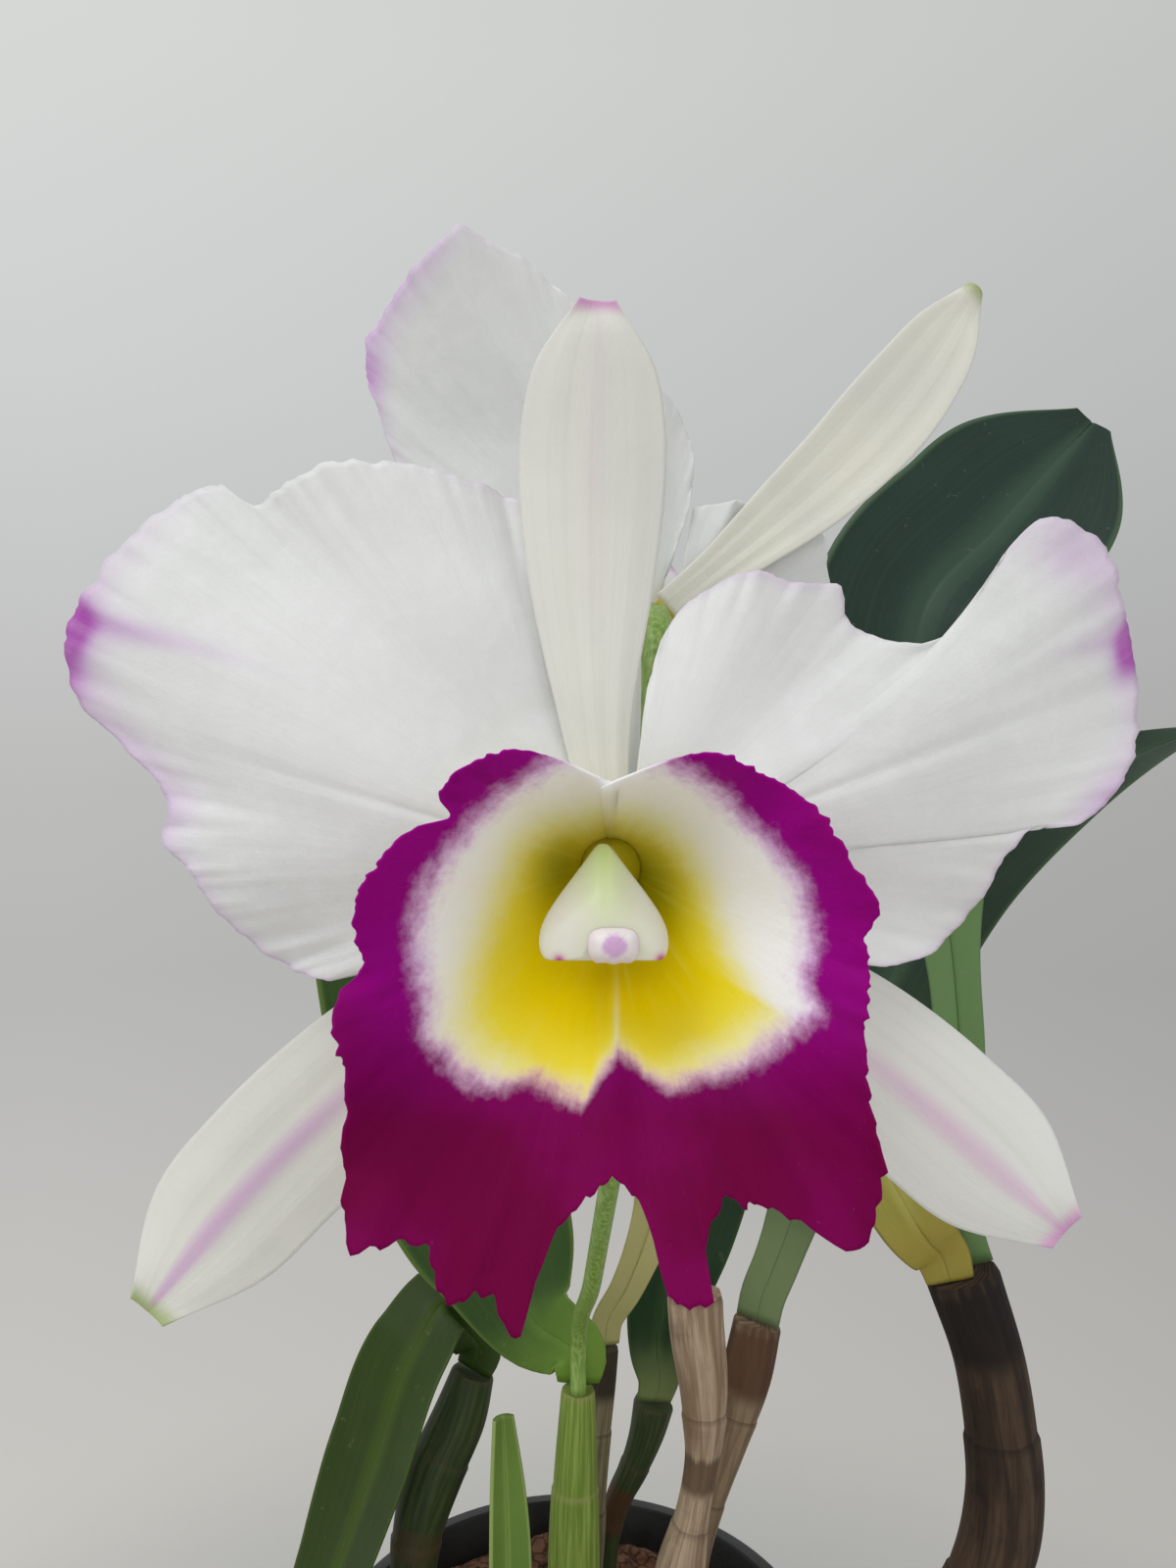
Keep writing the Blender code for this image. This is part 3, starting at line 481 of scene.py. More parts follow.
def bulb_finish(name, flesh, streak, collar, collar_places, papery):
    """Flesh with streaks along it; collar colours the skin near each of collar_places along it."""
    skin = Finish(name, Specular_IOR_Level=0.35)
    fibre = skin.cloud(skin.join(skin.u * (34 - 16 * papery), skin.v * 3.2), 1.0, 5, 0.65, 0.6 * papery)
    patch = skin.cloud(skin.place, 110, 4, 0.6)
    colour = skin.blend(fibre.ease(0.38, 0.66), flesh, streak)
    colour = skin.blend(patch.ease(0.5, 0.75) * 0.5 * papery, colour, collar)
    for at, reach in collar_places:
        near = skin.v + (fibre - 0.5) * 0.05
        band = near.ease(at - reach, at - reach * 0.5) * near.ease(at + reach, at + reach * 0.6)
        colour = skin.blend(band * 0.85, colour, collar)
    ring = (skin.v * SHEATHS).maths("FRACT", skin.v * SHEATHS)
    colour = skin.blend(ring.ease(0.93, 1.0) * 0.5, colour, collar)
    skin.cover(Base_Color=colour, Roughness=0.45 + papery * 0.3 + fibre * 0.15)
    skin.relief(fibre * 0.6 + patch * papery * 0.9, 0.4)
    return skin


fresh_green, pale_green = paint(104, 128, 44), paint(142, 162, 80)
old_green, dull_green = paint(52, 68, 40), paint(80, 92, 56)
dark_brown = paint(44, 34, 29)
bulb_finishes = {
    "new_pseudobulb": (fresh_green, pale_green, paint(150, 140, 96), [(0.45, 0.03)], 0.0),
    "left_pseudobulb": (old_green, dull_green, paint(84, 74, 50), [(0.5, 0.06)], 0.3),
    "middle_pseudobulb": (paint(120, 112, 84), paint(160, 150, 118), dark_brown, [(0.93, 0.1)], 0.6),
    "green_pseudobulb": (old_green, dull_green, paint(92, 64, 44), [(0.55, 0.12)], 0.3),
    "tan_pseudobulb": (paint(140, 116, 94), paint(186, 164, 140), paint(94, 74, 58), [(0.62, 0.05)], 1.0),
    "rear_pseudobulb": (paint(126, 106, 84), paint(160, 138, 112), paint(86, 58, 42), [(0.9, 0.12)], 1.0),
    "curved_pseudobulb": (paint(50, 38, 30), paint(84, 67, 53), paint(26, 20, 18), [(0.93, 0.08)], 1.0),
}
bulb_slots = {
    "new_pseudobulb": "fresh_green", "left_pseudobulb": "leaf_green", "green_pseudobulb": "leaf_green",
}
for seed, (node, (_, _, radii)) in enumerate(BULBS.items()):
    *colours, papery = bulb_finishes[node]
    bulb = sweep(bulb_route(node), radii, 40, 96, bulb_relief(seed, 0.05 + 0.06 * papery))
    hand_over(bulb, node.replace("pseudobulb", "bulb"), bulb_finish(f"{node}_skin", *colours, papery),
              bulb_slots.get(node, "dry_sheath"), node)
    bulb.data.set_sharp_from_angle(angle=math.radians(50))


# Leaves: stiff, leathery straps folded along the midrib, each grown from the top of its bulb.
# The upper face is darker and waxy, with faint parallel veins and a paler rim.
# A list of widths holds shares of the leaf's full width, at even steps from its foot to its tip.
LEAF_SEAT = 0.5
BROAD = [0.22, 0.5, 0.84, 0.98, 1.0, 1.0, 0.95, 0.8, 0.5, 0.06]
OVAL = [0.34, 0.52, 0.78, 0.94, 1.0, 1.0, 0.95, 0.8, 0.5, 0.06]
NARROW_FOOT = [0.3, 0.34, 0.52, 0.78, 0.96, 1.0, 0.95, 0.8, 0.5, 0.06]
STALKED = [0.26, 0.28, 0.32, 0.42, 0.66, 0.9, 1.0, 0.98, 0.72, 0.06]
PADDLE = [0.2, 0.21, 0.22, 0.26, 0.5, 0.84, 1.0, 1.0, 0.88, 0.2]
SHORT = [0.62, 0.76, 0.9, 1.0, 1.0, 0.98, 0.9, 0.76, 0.5, 0.1]
LEAVES = {
    "broad_leaf": ("new_pseudobulb", (0, 2.2, 0),
                   [(-22, -13.2, 171), (-30, -11, 187), (-43, -6, 215), (-54, 2, 250), (-62, 12, 288),
                    (-66, 22, 318)],
                   (0.1, -1, 0), (0.4, -1, 0.2), 44, BROAD),
    "drooping_leaf": ("left_pseudobulb", (0, 0, 0),
                      [(-40.5, 8, 160), (-45, 6, 167), (-51.5, 1, 159), (-60.5, -3, 134), (-69.5, -4, 108),
                       (-78, -5, 90), (-83, -6, 70)],
                      (-0.3, -1, 0.4), (-1, -0.4, 0.3), 28, OVAL),
    "yellow_green_leaf": ("middle_pseudobulb", (0, 0, 0),
                          [(-0.7, 15.5, 166), (6.5, 17, 184), (14.5, 22, 220), (18, 30, 258)],
                          (0.4, -1, 0), (0.2, -1, 0), 32, STALKED),
    "dark_leaf": ("green_pseudobulb", (0, 0, 0),
                  [(7.8, 24.5, 147), (10.5, 26, 162), (18, 31, 185), (29, 40, 211), (42, 50, 240)],
                  (0.3, -1, 0), (0.3, -1, 0), 28, OVAL),
    "right_leaf": ("rear_pseudobulb", (0, 0, 0),
                   [(37.8, 16, 172), (51, 17, 208), (65, 18, 240), (85, 20, 270), (110, 22, 290),
                    (140, 24, 305), (158, 26, 311)],
                   (-0.5, -0.9, 0.2), (-0.3, -0.4, 1), 38, NARROW_FOOT),
    "upright_leaf": ("curved_pseudobulb", (3.2, 2.2, 0),
                     [(76.5, -13, 215), (75.5, -10, 250), (70.5, -9, 288), (66, -8, 317), (70, -7, 338),
                      (86, -5, 355), (103, -1, 373), (113, 3, 383)],
                     (-0.3, -1, 0), (-0.3, -1, 0.1), 50, PADDLE),
    "yellowing_leaf": ("curved_pseudobulb", (-3.6, -2.6, 0),
                       [(66, -23, 193), (58, -23, 206), (50, -21, 223), (44, -17, 246)],
                       (-0.3, -1, 0), (0.2, -1, 0.2), 17, SHORT),
}


def strap(route, half_widths, first_facing, last_facing, cup, wave=lambda a, t: 0.0):
    """The surface of a blade along a midrib; cup bends its edges to the facing side."""
    known = {}

    def section(v):
        if v not in known:
            t = 1 - (1 - v) ** 1.25
            ahead = heading(route, t)
            side = ahead.cross(Vector(first_facing).lerp(Vector(last_facing), t)).normalized()
            known[v] = (t, Vector(through(route, t)), side, side.cross(ahead), even_steps(half_widths, t))
        return known[v]

    def surface(u, v):
        t, centre, side, up, half = section(v)
        a = 2 * u - 1
        lift = cup * half * a * a * min(1, 4 * t) + wave(a, t)
        return centre + side * a * half + up * lift

    return surface


def thicken(piece, thickness, share):
    """Give a sheet its thickness in millimetres, times share(u, v) at each of its points."""
    group = piece.vertex_groups.new(name="share")
    corner_of = {loop.vertex_index: loop.index for loop in piece.data.loops}
    flat = piece.data.uv_layers.active.data
    for index, corner in corner_of.items():
        group.add([index], share(*flat[corner].uv), "REPLACE")
    apply_modifier(piece, "SOLIDIFY", thickness=thickness * MM, offset=0.0, vertex_group=group.name,
                   use_quality_normals=True)
    piece.vertex_groups.clear()


def leaf_finish(name, face, rib, base, rim, base_reach):
    """A leaf's face colour, its midrib's, its stalk's up to base_reach, and its rim's."""
    skin = Finish(name, Specular_IOR_Level=0.28)
    off_rib = (skin.u - 0.5).maths("ABSOLUTE", skin.u - 0.5) * 2
    veins = skin.cloud(skin.join(skin.u * 46, skin.v * 1.2), 1.0, 3, 0.55)
    mottle = skin.cloud(skin.place, 34, 3, 0.6)
    fleck = skin.cloud(skin.place, 420, 2, 0.6)
    shade = skin.blend(mottle.ease(0.3, 0.7) * 0.6, face, tuple(part * 0.62 for part in face))
    shade = skin.blend(veins.ease(0.4, 0.75) * 0.12, shade, rib)
    shade = skin.blend(off_rib.ease(0.3, 0.0) * 0.5, shade, rib)
    stalked = (skin.v + (mottle - 0.5) * 0.12).ease(base_reach + 0.08, base_reach - 0.06)
    shade = skin.blend(stalked, shade, base)
    shade = skin.blend(off_rib.ease(0.93, 0.99) * 0.5, shade, rim)
    shade = skin.blend(fleck.ease(0.68, 0.74) * 0.12, shade, paint(150, 150, 120))
    skin.cover(Base_Color=shade, Roughness=0.33 + mottle * 0.2 + veins * 0.08)
    skin.relief(veins * 0.5 + fleck * 0.1 + off_rib.ease(0.05, 0.0) * -1.0, 0.16)
    return skin


deep_green, cool_rib = paint(38, 60, 50), paint(72, 98, 78)
mid_green, warm_rib = paint(50, 70, 20), paint(78, 102, 34)
leaf_finishes = {
    "broad_leaf": (paint(54, 84, 34), paint(92, 124, 52), paint(112, 146, 54), paint(116, 140, 66), 0.06),
    "drooping_leaf": (mid_green, warm_rib, paint(64, 86, 34), paint(78, 98, 44), 0.04),
    "yellow_green_leaf": (paint(138, 146, 62), paint(176, 180, 100), paint(196, 190, 128),
                          paint(180, 180, 110), 0.3),
    "dark_leaf": (paint(38, 68, 38), paint(74, 104, 60), paint(132, 148, 92), paint(84, 112, 68), 0.06),
    "right_leaf": (paint(40, 66, 46), paint(80, 104, 80), paint(120, 138, 96), paint(92, 114, 84), 0.1),
    "upright_leaf": (deep_green, cool_rib, paint(108, 140, 88), paint(96, 122, 90), 0.36),
    "yellowing_leaf": (paint(172, 164, 74), paint(200, 192, 110), paint(160, 146, 66),
                       paint(120, 100, 60), 0.2),
}
for node, (bulb_name, shift, points, first_facing, last_facing, width, outline) in LEAVES.items():
    route = bulb_route(bulb_name)
    ahead = heading(route, 1.0)
    foot = Vector(route[-1]) + Vector(shift) - ahead * ahead.dot(Vector(shift))
    midrib = [foot + ahead * LEAF_SEAT, foot + ahead * 6, *points]

    def leaf_wave(a, t, seed=len(node)):
        """The fold at the midrib, closer at the leaf's base, and slow waves along its edges."""
        fold = -0.5 * math.exp(-(a / 0.1) ** 2) * min(1, 6 * t)
        return fold + 0.8 * a * a * math.sin(9 * t + seed + 1.5 * a) * min(1, 3 * t)

    blade = sheet_of(30, 110, strap(midrib, [width / 2 * share for share in outline], first_facing,
                                    last_facing, 0.25, leaf_wave))
    thicken(blade, 1.5, lambda u, v: 1 - 0.72 * abs(2 * u - 1) ** 3)
    hand_over(blade, f"{node}_blade", leaf_finish(f"{node}_skin", *leaf_finishes[node]),
              "leaf_yellow" if "yellow" in node else "leaf_green", node)


# Young shoot: one pale green leaf, still folded round itself, that comes straight out of the bark.
# It is made as the leaves are, but has no bulb under it yet.
shoot_x, shoot_y = -27.8, -33
shoot_route = [(shoot_x, shoot_y, FOOT), (shoot_x, shoot_y, 100), (shoot_x + 0.5, shoot_y - 1, 130),
               (shoot_x - 0.5, shoot_y - 2, 161)]
shoot_half_widths, shoot_facing = [2.4, 3.4, 4.6, 4.6, 4.6, 3.8, 2.2], (0.5, -1, 0)
shoot = sheet_of(20, 80, strap(shoot_route, shoot_half_widths, shoot_facing, shoot_facing, 0.5))
thicken(shoot, 1.5, lambda u, v: 1 - 0.5 * abs(2 * u - 1) ** 3)
shoot_skin = leaf_finish("shoot_skin", paint(106, 136, 58), paint(150, 176, 96), paint(140, 164, 88),
                         paint(170, 190, 120), 0.2)
hand_over(shoot, "shoot_blade", shoot_skin, "fresh_green", "young_shoot")


# Flower stem: a smooth green stalk from the newest bulb that forks into two pedicels.
# Each pedicel swells into a ribbed ovary right behind its bloom.
HUB_RADIUS, HUB_BACK, GAP = 3.4, 0.9, 0.3
FRONT_JUNCTION, BACK_JUNCTION = Vector((-7, -125, 284)), Vector((1, -85, 322))
stem_start = Vector(BULBS["new_pseudobulb"][1][-1]) + Vector((0, -2.4, GAP))
fork = Vector((-3, -98, 252))
seat = Vector((0, HUB_BACK + GAP, 0))
front_end, back_end = FRONT_JUNCTION + seat, BACK_JUNCTION - seat


def ovary_relief(turn, t):
    return 1 + 0.07 * math.cos(6 * turn) * max(0, 2 * t - 1)


stalks = [
    sweep([stem_start, stem_start + Vector((0, 0, 6)), (-9, -58, 200), fork, fork + Vector((1, -3, 7))],
          [1.8, 1.8, 1.8, 2.0], 24, 80),
    sweep([fork, (-4, -102, 268), (-6.5, -111, 281), front_end + Vector((0, 4, 0)), front_end],
          [1.6, 1.7, 2.2, 2.9], 36, 60, ovary_relief),
    sweep([fork, (-1, -104, 285), (0.5, -104, 308), (1, -98, 319), back_end - Vector((0, 4, 0)), back_end],
          [1.6, 1.7, 2.0, 2.4, 2.9], 36, 70, ovary_relief),
]
for pedicel in stalks[1:]:
    apply_modifier(stalks[0], "BOOLEAN", object=pedicel, operation="UNION", solver="EXACT")
    bpy.data.objects.remove(pedicel)
stalk_skin = Finish("stalk_skin", Roughness=0.4)
stalk_fibre = stalk_skin.cloud(stalk_skin.join(stalk_skin.x, stalk_skin.y, stalk_skin.z * 0.15), 1.6, 3)
stalk_green = stalk_skin.blend(stalk_fibre.ease(0.35, 0.7), paint(112, 146, 58), paint(150, 178, 96))
stalk_skin.cover(Base_Color=stalk_green)
stalk_skin.relief(stalk_fibre, 0.12)
hand_over(stalks[0], "flower_stalk", stalk_skin, "fresh_green", "flower_stem")


# Sepals: three narrow blades behind the petals of each bloom, white and waxy.
# Fine veins run along them; the tips are pinched and green or pink, the lower two striped violet.
FRONT_BODY = PLANT @ Matrix.Translation(FRONT_JUNCTION * MM)
BACK_BODY = (PLANT @ Matrix.Translation(BACK_JUNCTION * MM) @ Matrix.Rotation(math.radians(45), 4, "Y")
             @ Matrix.Rotation(math.pi, 4, "Z"))
VIEWER = (0, -1, 0)
TEPAL_CUP, TEPAL_THICKNESS = -0.15, 0.7
SIDE_WIDTHS = [3.2, 4.8, 7.4, 9.6, 10.7, 10.8, 9.6, 2.8]
left_route = [(-2.6, 0, -2.7), (-16, 3, -14), (-36, 4, -31.5), (-53, 0.5, -48.5), (-61.5, -4, -59)]
right_route = [(2.6, 0, -2.7), (15, 3, -12), (35, 4, -26.5), (60.5, -4, -48.5)]
white, shade_white, vein_grey = paint(232, 233, 233), paint(206, 208, 206), paint(196, 200, 190)
blush, violet = paint(222, 172, 212), paint(196, 120, 200)
tip_green = paint(150, 168, 96)


def sepal_finish(name, stripe, stripe_colour, tip_colour, cream):
    """stripe is how strongly the midrib is coloured; cream warms the blade."""
    skin = Finish(name, Subsurface_Weight=0.3, Subsurface_Scale=1.5 * MM, Subsurface_Radius=(1, 1, 1),
                  Specular_IOR_Level=0.3)
    off_rib = (skin.u - 0.5).maths("ABSOLUTE", skin.u - 0.5)
    veins = skin.cloud(skin.join(skin.u * 17, skin.v * 0.7), 1.0, 2, 0.5)
    soft = skin.cloud(skin.place, 45, 3)
    grain = skin.cloud(skin.place, 1500, 2)
    mottle = skin.cloud(skin.place, 300, 3, 0.6)
    colour = skin.blend(cream, white, paint(228, 226, 212))
    colour = skin.blend(veins.ease(0.46, 0.7) * 0.16 * skin.v.ease(1.0, 0.6), colour, vein_grey)
    colour = skin.blend(soft.ease(0.4, 0.7) * 0.3, colour, shade_white)
    feather = off_rib + (veins - 0.5) * 0.06 + (soft - 0.5) * 0.05
    colour = skin.blend(feather.ease(0.13, 0.0) * skin.v.ease(0.25, 0.6) * stripe, colour, stripe_colour)
    colour = skin.blend((skin.v + (soft - 0.5) * 0.05).ease(0.93, 0.995) * 0.85, colour, tip_colour)
    skin.cover(Base_Color=colour, Roughness=0.42 + grain * 0.15)
    skin.relief(veins * 0.6 + mottle * 0.5 + grain * 0.25, 0.18)
    return skin


def sepal_wave(a, t):
    """Shallow ribs along the blade, edges that roll back, and a pinched tip."""
    rib = 0.09 * math.cos(11 * a) * min(1, 5 * t) * min(1, 6 * (1 - t))
    return rib + 0.5 * a * math.sin(5 * t) - 1.6 * math.exp(-((1 - t) / 0.04) ** 2) * (1 - a * a)


pink_tip = paint(214, 150, 200)
sepals = {
    "front_dorsal": ("dorsal_sepal", FRONT_BODY,
                     [(-0.3, 0, 3.8), (-1.8, 0.6, 18), (-2.5, 1.5, 37), (-2.3, 1.5, 57), (-1.7, 0, 77)],
                     [3.2, 3.8, 5.0, 6.6, 8.2, 9.4, 10.1, 9.9, 8.0, 2.4], 0.1, blush, pink_tip, 0.6),
    "front_left": ("left_sepal", FRONT_BODY, left_route, SIDE_WIDTHS, 0.5, violet, tip_green, 0.6),
    "front_right": ("right_sepal", FRONT_BODY, right_route, SIDE_WIDTHS, 0.5, blush, pink_tip, 0.3),
    "back_dorsal": ("dorsal_sepal", BACK_BODY,
                    [(0, 0, 3.8), (-2.0, 0.8, 22), (-3.4, 1.5, 42), (-2.2, 1, 60), (1.5, -1, 79)],
                    [3.2, 3.8, 5.2, 6.6, 7.4, 7.9, 7.4, 5.8, 1.6], 0.0, blush, tip_green, 0.9),
    "back_left": ("left_sepal", BACK_BODY, left_route, SIDE_WIDTHS, 0.5, violet, tip_green, 0.2),
    "back_right": ("right_sepal", BACK_BODY, right_route, SIDE_WIDTHS, 0.5, blush, tip_green, 0.2),
}
for name, (part, body, route, widths, *looks) in sepals.items():
    blade = sheet_of(32, 90, strap(route, widths, VIEWER, VIEWER, TEPAL_CUP, sepal_wave), body)
    thicken(blade, TEPAL_THICKNESS, lambda u, v: 1 - 0.6 * abs(2 * u - 1) ** 4)
    hand_over(blade, f"{name}_sepal_blade", sepal_finish(f"{name}_sepal_skin", *looks), "petal_white",
              f"{name.split('_')[0]}_{part}")


# Petals: two broad fans on each bloom, thin and crisp, with veins that spread from a narrow claw.
# Their edges are ruffled and flushed violet; the midrib carries a magenta flare at its end.
# An outline holds x, z and how far its vein bows to the side.
PETAL_LEAN, PETAL_REACH = 5, 60  # how far a petal leans back at that distance from its claw
PETAL_TUCK_REACH, PETAL_CLAW = 21, 2.6
PETAL_RUFFLE, PETAL_FOLDS = 1.8, 11.5
MIDRIB_TURN, MIDRIB_BREADTH, GROOVE_BREADTH = 0.77, 0.34, 0.03  # radians from a petal's first edge
ROUND_PETAL = [
    (-25.0, -10.5, 0), (-31.0, -15.0, 0), (-40.0, -15.5, 0), (-46.5, -13.0, 0), (-53.0, -7.0, 0),
    (-58.5, 0.5, 0), (-61.5, 3.5, 0), (-61.0, 7.0, 0), (-68.0, 16.0, 0), (-76.0, 23.5, 0),
    (-77.0, 29.0, 0), (-73.0, 38.5, 0), (-67.5, 46.0, 0), (-60.0, 52.5, 0), (-54.5, 53.5, 0),
    (-51.5, 51.0, 0), (-42.0, 55.0, 0), (-30.0, 56.0, 0), (-19.5, 54.0, 1), (-12.0, 51.0, 3.5),
    (-6.0, 45.5, 4.6),
]
BAY_PETAL = [
    (24.0, -8.0, 0), (36.3, -13.5, 0), (44.4, -11.8, 0), (49.9, -6.4, 0), (54.0, 1.7, 0),
    (56.8, 4.6, 0), (64.8, 5.8, 0), (71.5, 12.5, 0), (75.0, 18.7, 0), (75.4, 24.8, 2),
    (73.5, 33.0, 4), (71.5, 38.4, 6), (68.9, 45.1, 9), (64.8, 47.4, 11), (60.0, 47.8, 12),
    (56.6, 45.1, 11.5), (52.4, 39.4, 8.5), (49.9, 35.6, 6), (47.0, 32.0, 3), (42.3, 30.2, 0.5),
    (37.6, 30.9, 0), (33.6, 33.0, 0), (31.5, 38.0, 0), (24.1, 38.4, 0), (20.7, 39.7, 0),
    (13.3, 37.6, 0), (8.3, 33.0, 0), (5.0, 24.0, 0),
]
BACK_UPPER_PETAL = [
    (-19.0, -7.0, 0), (-35.0, -13.0, 0), (-50.8, -11.0, 0), (-58.7, -7.0, 0), (-63.8, -4.5, 0),
    (-67.2, -0.8, 0), (-68.6, 5.5, 0), (-69.0, 12.0, 0), (-69.0, 18.0, 0), (-68.4, 24.0, 0),
    (-64.0, 25.3, 0), (-59.0, 27.5, 0), (-52.5, 28.6, 0), (-41.0, 28.8, 0), (-30.0, 29.3, 0),
    (-24.0, 29.2, 0), (-17.5, 27.0, 0), (-10.5, 19.5, 0), (-6.5, 12.0, 0),
]
BACK_LOWER_PETAL = [
    (-19.0, -7.0, 0), (-35.0, -13.0, 0), (-51.0, -10.0, 0), (-58.0, -6.0, 0), (-66.5, -2.0, 0),
    (-68.5, 3.0, 0), (-67.0, 12.0, 0), (-60.0, 18.0, 0), (-48.0, 18.5, 0), (-34.0, 19.0, 0),
    (-24.0, 22.0, 0), (-15.0, 27.5, 0), (-9.5, 31.0, 0), (-3.0, 29.5, 0), (4.2, 25.0, 0), (9.5, 19.5, 0),
]


def rim_places(outline, root, evenness):
    """A function of u that gives its share of the rim's turn, the rim's point and how far along it is.

    Evenness 0 spaces the points by length, and 1 spaces them by their angle round the root.
    """
    if not evenness:
        return lambda u: (u, *through(outline, u), u)
    fractions = np.linspace(0, 1, 801)
    points = np.array([through(outline, fraction) for fraction in fractions])
    turns = np.unwrap(np.arctan2(points[:, 1] - root[1], points[:, 0] - root[0]))
    turns = np.maximum.accumulate(np.abs(turns - turns[0]))
    shares = turns / turns[-1]

    def place(u):
        share = evenness * u + (1 - evenness) * np.interp(u, fractions, shares)
        return share, *(np.interp(share, shares, row) for row in (*points.T, fractions))

    return place


def fan(outline, evenness, tuck, seed, ridge):
    """A petal whose veins spread from its claw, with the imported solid's ruffle and finer ones on it."""
    side = math.copysign(1, outline[0][0])
    first, last = Vector(outline[0][:2]), Vector(outline[-1][:2])
    spread = (last - first).normalized()
    root = Vector((side * (HUB_RADIUS + GAP), 1.0))
    whole = (first - root).angle(last - root)
    place = rim_places(outline, root, evenness)

    def surface(u, v):
        share, x, z, bow, _ = place(u)
        start = root + spread * PETAL_CLAW * (2 * share - 1)
        start *= max(1, (HUB_RADIUS + GAP) / start.length)
        vein = Vector((x, z)) - start
        aside = Vector((vein.y, -vein.x)).normalized() * side
        nick = (0.012 * noise.noise(Vector((u * 46, seed, 0)))
                + 0.006 * noise.noise(Vector((u * 190, seed, 3))))
        point = start + vein * v * (1 + nick * v ** 8) + aside * 2 * bow * v * (1 - v)
        out = point - root
        turn = (first - root).angle(out, 0.0)
        tucked = tuck * min(1, turn / whole) ** 4 * min(1, out.length / PETAL_TUCK_REACH)
        ruffle = PETAL_RUFFLE * v ** 3 * math.sin(PETAL_FOLDS * turn - 0.6)
        off_rib = turn - MIDRIB_TURN
        midrib = ridge * math.exp(-(off_rib / MIDRIB_BREADTH) ** 2) * math.sin(math.pi * min(1, v * 1.05))
        groove = 0.35 * math.exp(-(off_rib / GROOVE_BREADTH) ** 2) * v * (1 - v) * 4
        frill = (0.8 * noise.noise(Vector((turn * 7, seed, v)))
                 + 0.6 * noise.noise(Vector((turn * 16, v, seed)))) * v ** 5
        swell = 0.9 * noise.noise(Vector((point.x * 0.055, seed, point.y * 0.055))) * min(1, 3 * v)
        pleat = 1.0 * noise.noise(Vector((turn * 22, seed, v * 3))) * v ** 7
        pleat += 0.5 * noise.noise(Vector((turn * 45, seed, v * 4))) * v ** 9
        lean = -2.0 + PETAL_LEAN * (out.length / PETAL_REACH) ** 2
        depth = lean + tucked + ruffle + frill + swell + pleat - midrib + groove
        return (point.x, depth, point.y)

    return surface


petal_skin = Finish("petal_skin", Subsurface_Weight=0.3, Subsurface_Scale=1.2 * MM,
                    Subsurface_Radius=(1, 1, 1), Specular_IOR_Level=0.3)
streaks = petal_skin.cloud(petal_skin.join(petal_skin.u * 46, petal_skin.v * 2.6), 1.0, 4, 0.65)
veins = petal_skin.cloud(petal_skin.join(petal_skin.u * 110, petal_skin.v * 2.2), 1.0, 3, 0.6)
soft = petal_skin.cloud(petal_skin.place, 30, 3)
mottle = petal_skin.cloud(petal_skin.place, 260, 4, 0.65)
grain = petal_skin.cloud(petal_skin.place, 1500, 3, 0.7)
colour = petal_skin.blend(soft.ease(0.35, 0.7) * 0.35, white, shade_white)
colour = petal_skin.blend(mottle.ease(0.42, 0.7) * 0.25, colour, paint(242, 243, 244))
colour = petal_skin.blend(veins.ease(0.52, 0.7) * 0.09 * petal_skin.v.ease(0.05, 0.5), colour, vein_grey)
colour = petal_skin.blend(petal_skin.v.ease(0.35, 0.05) * 0.3, colour, paint(226, 228, 206))
stain = petal_skin.mark("stain")
violet_now = petal_skin.blend(stain.ease(0.45, 1.0), paint(206, 168, 216), paint(172, 52, 176))
colour = petal_skin.blend(stain.ease(0.03, 0.75) * (0.6 + streaks * 0.55), colour, violet_now)
petal_skin.cover(Base_Color=colour, Roughness=0.44 + grain * 0.18)
petal_skin.relief(streaks * 0.3 + veins * 0.22 + mottle * 0.6 + grain * 0.3, 0.2)


def point_marks(piece, *names):
    """New numbers, by name, that a mesh holds at each point."""
    for name in names:
        piece.data.attributes.new(name, "FLOAT", "POINT")
    return {name: piece.data.attributes[name] for name in names}


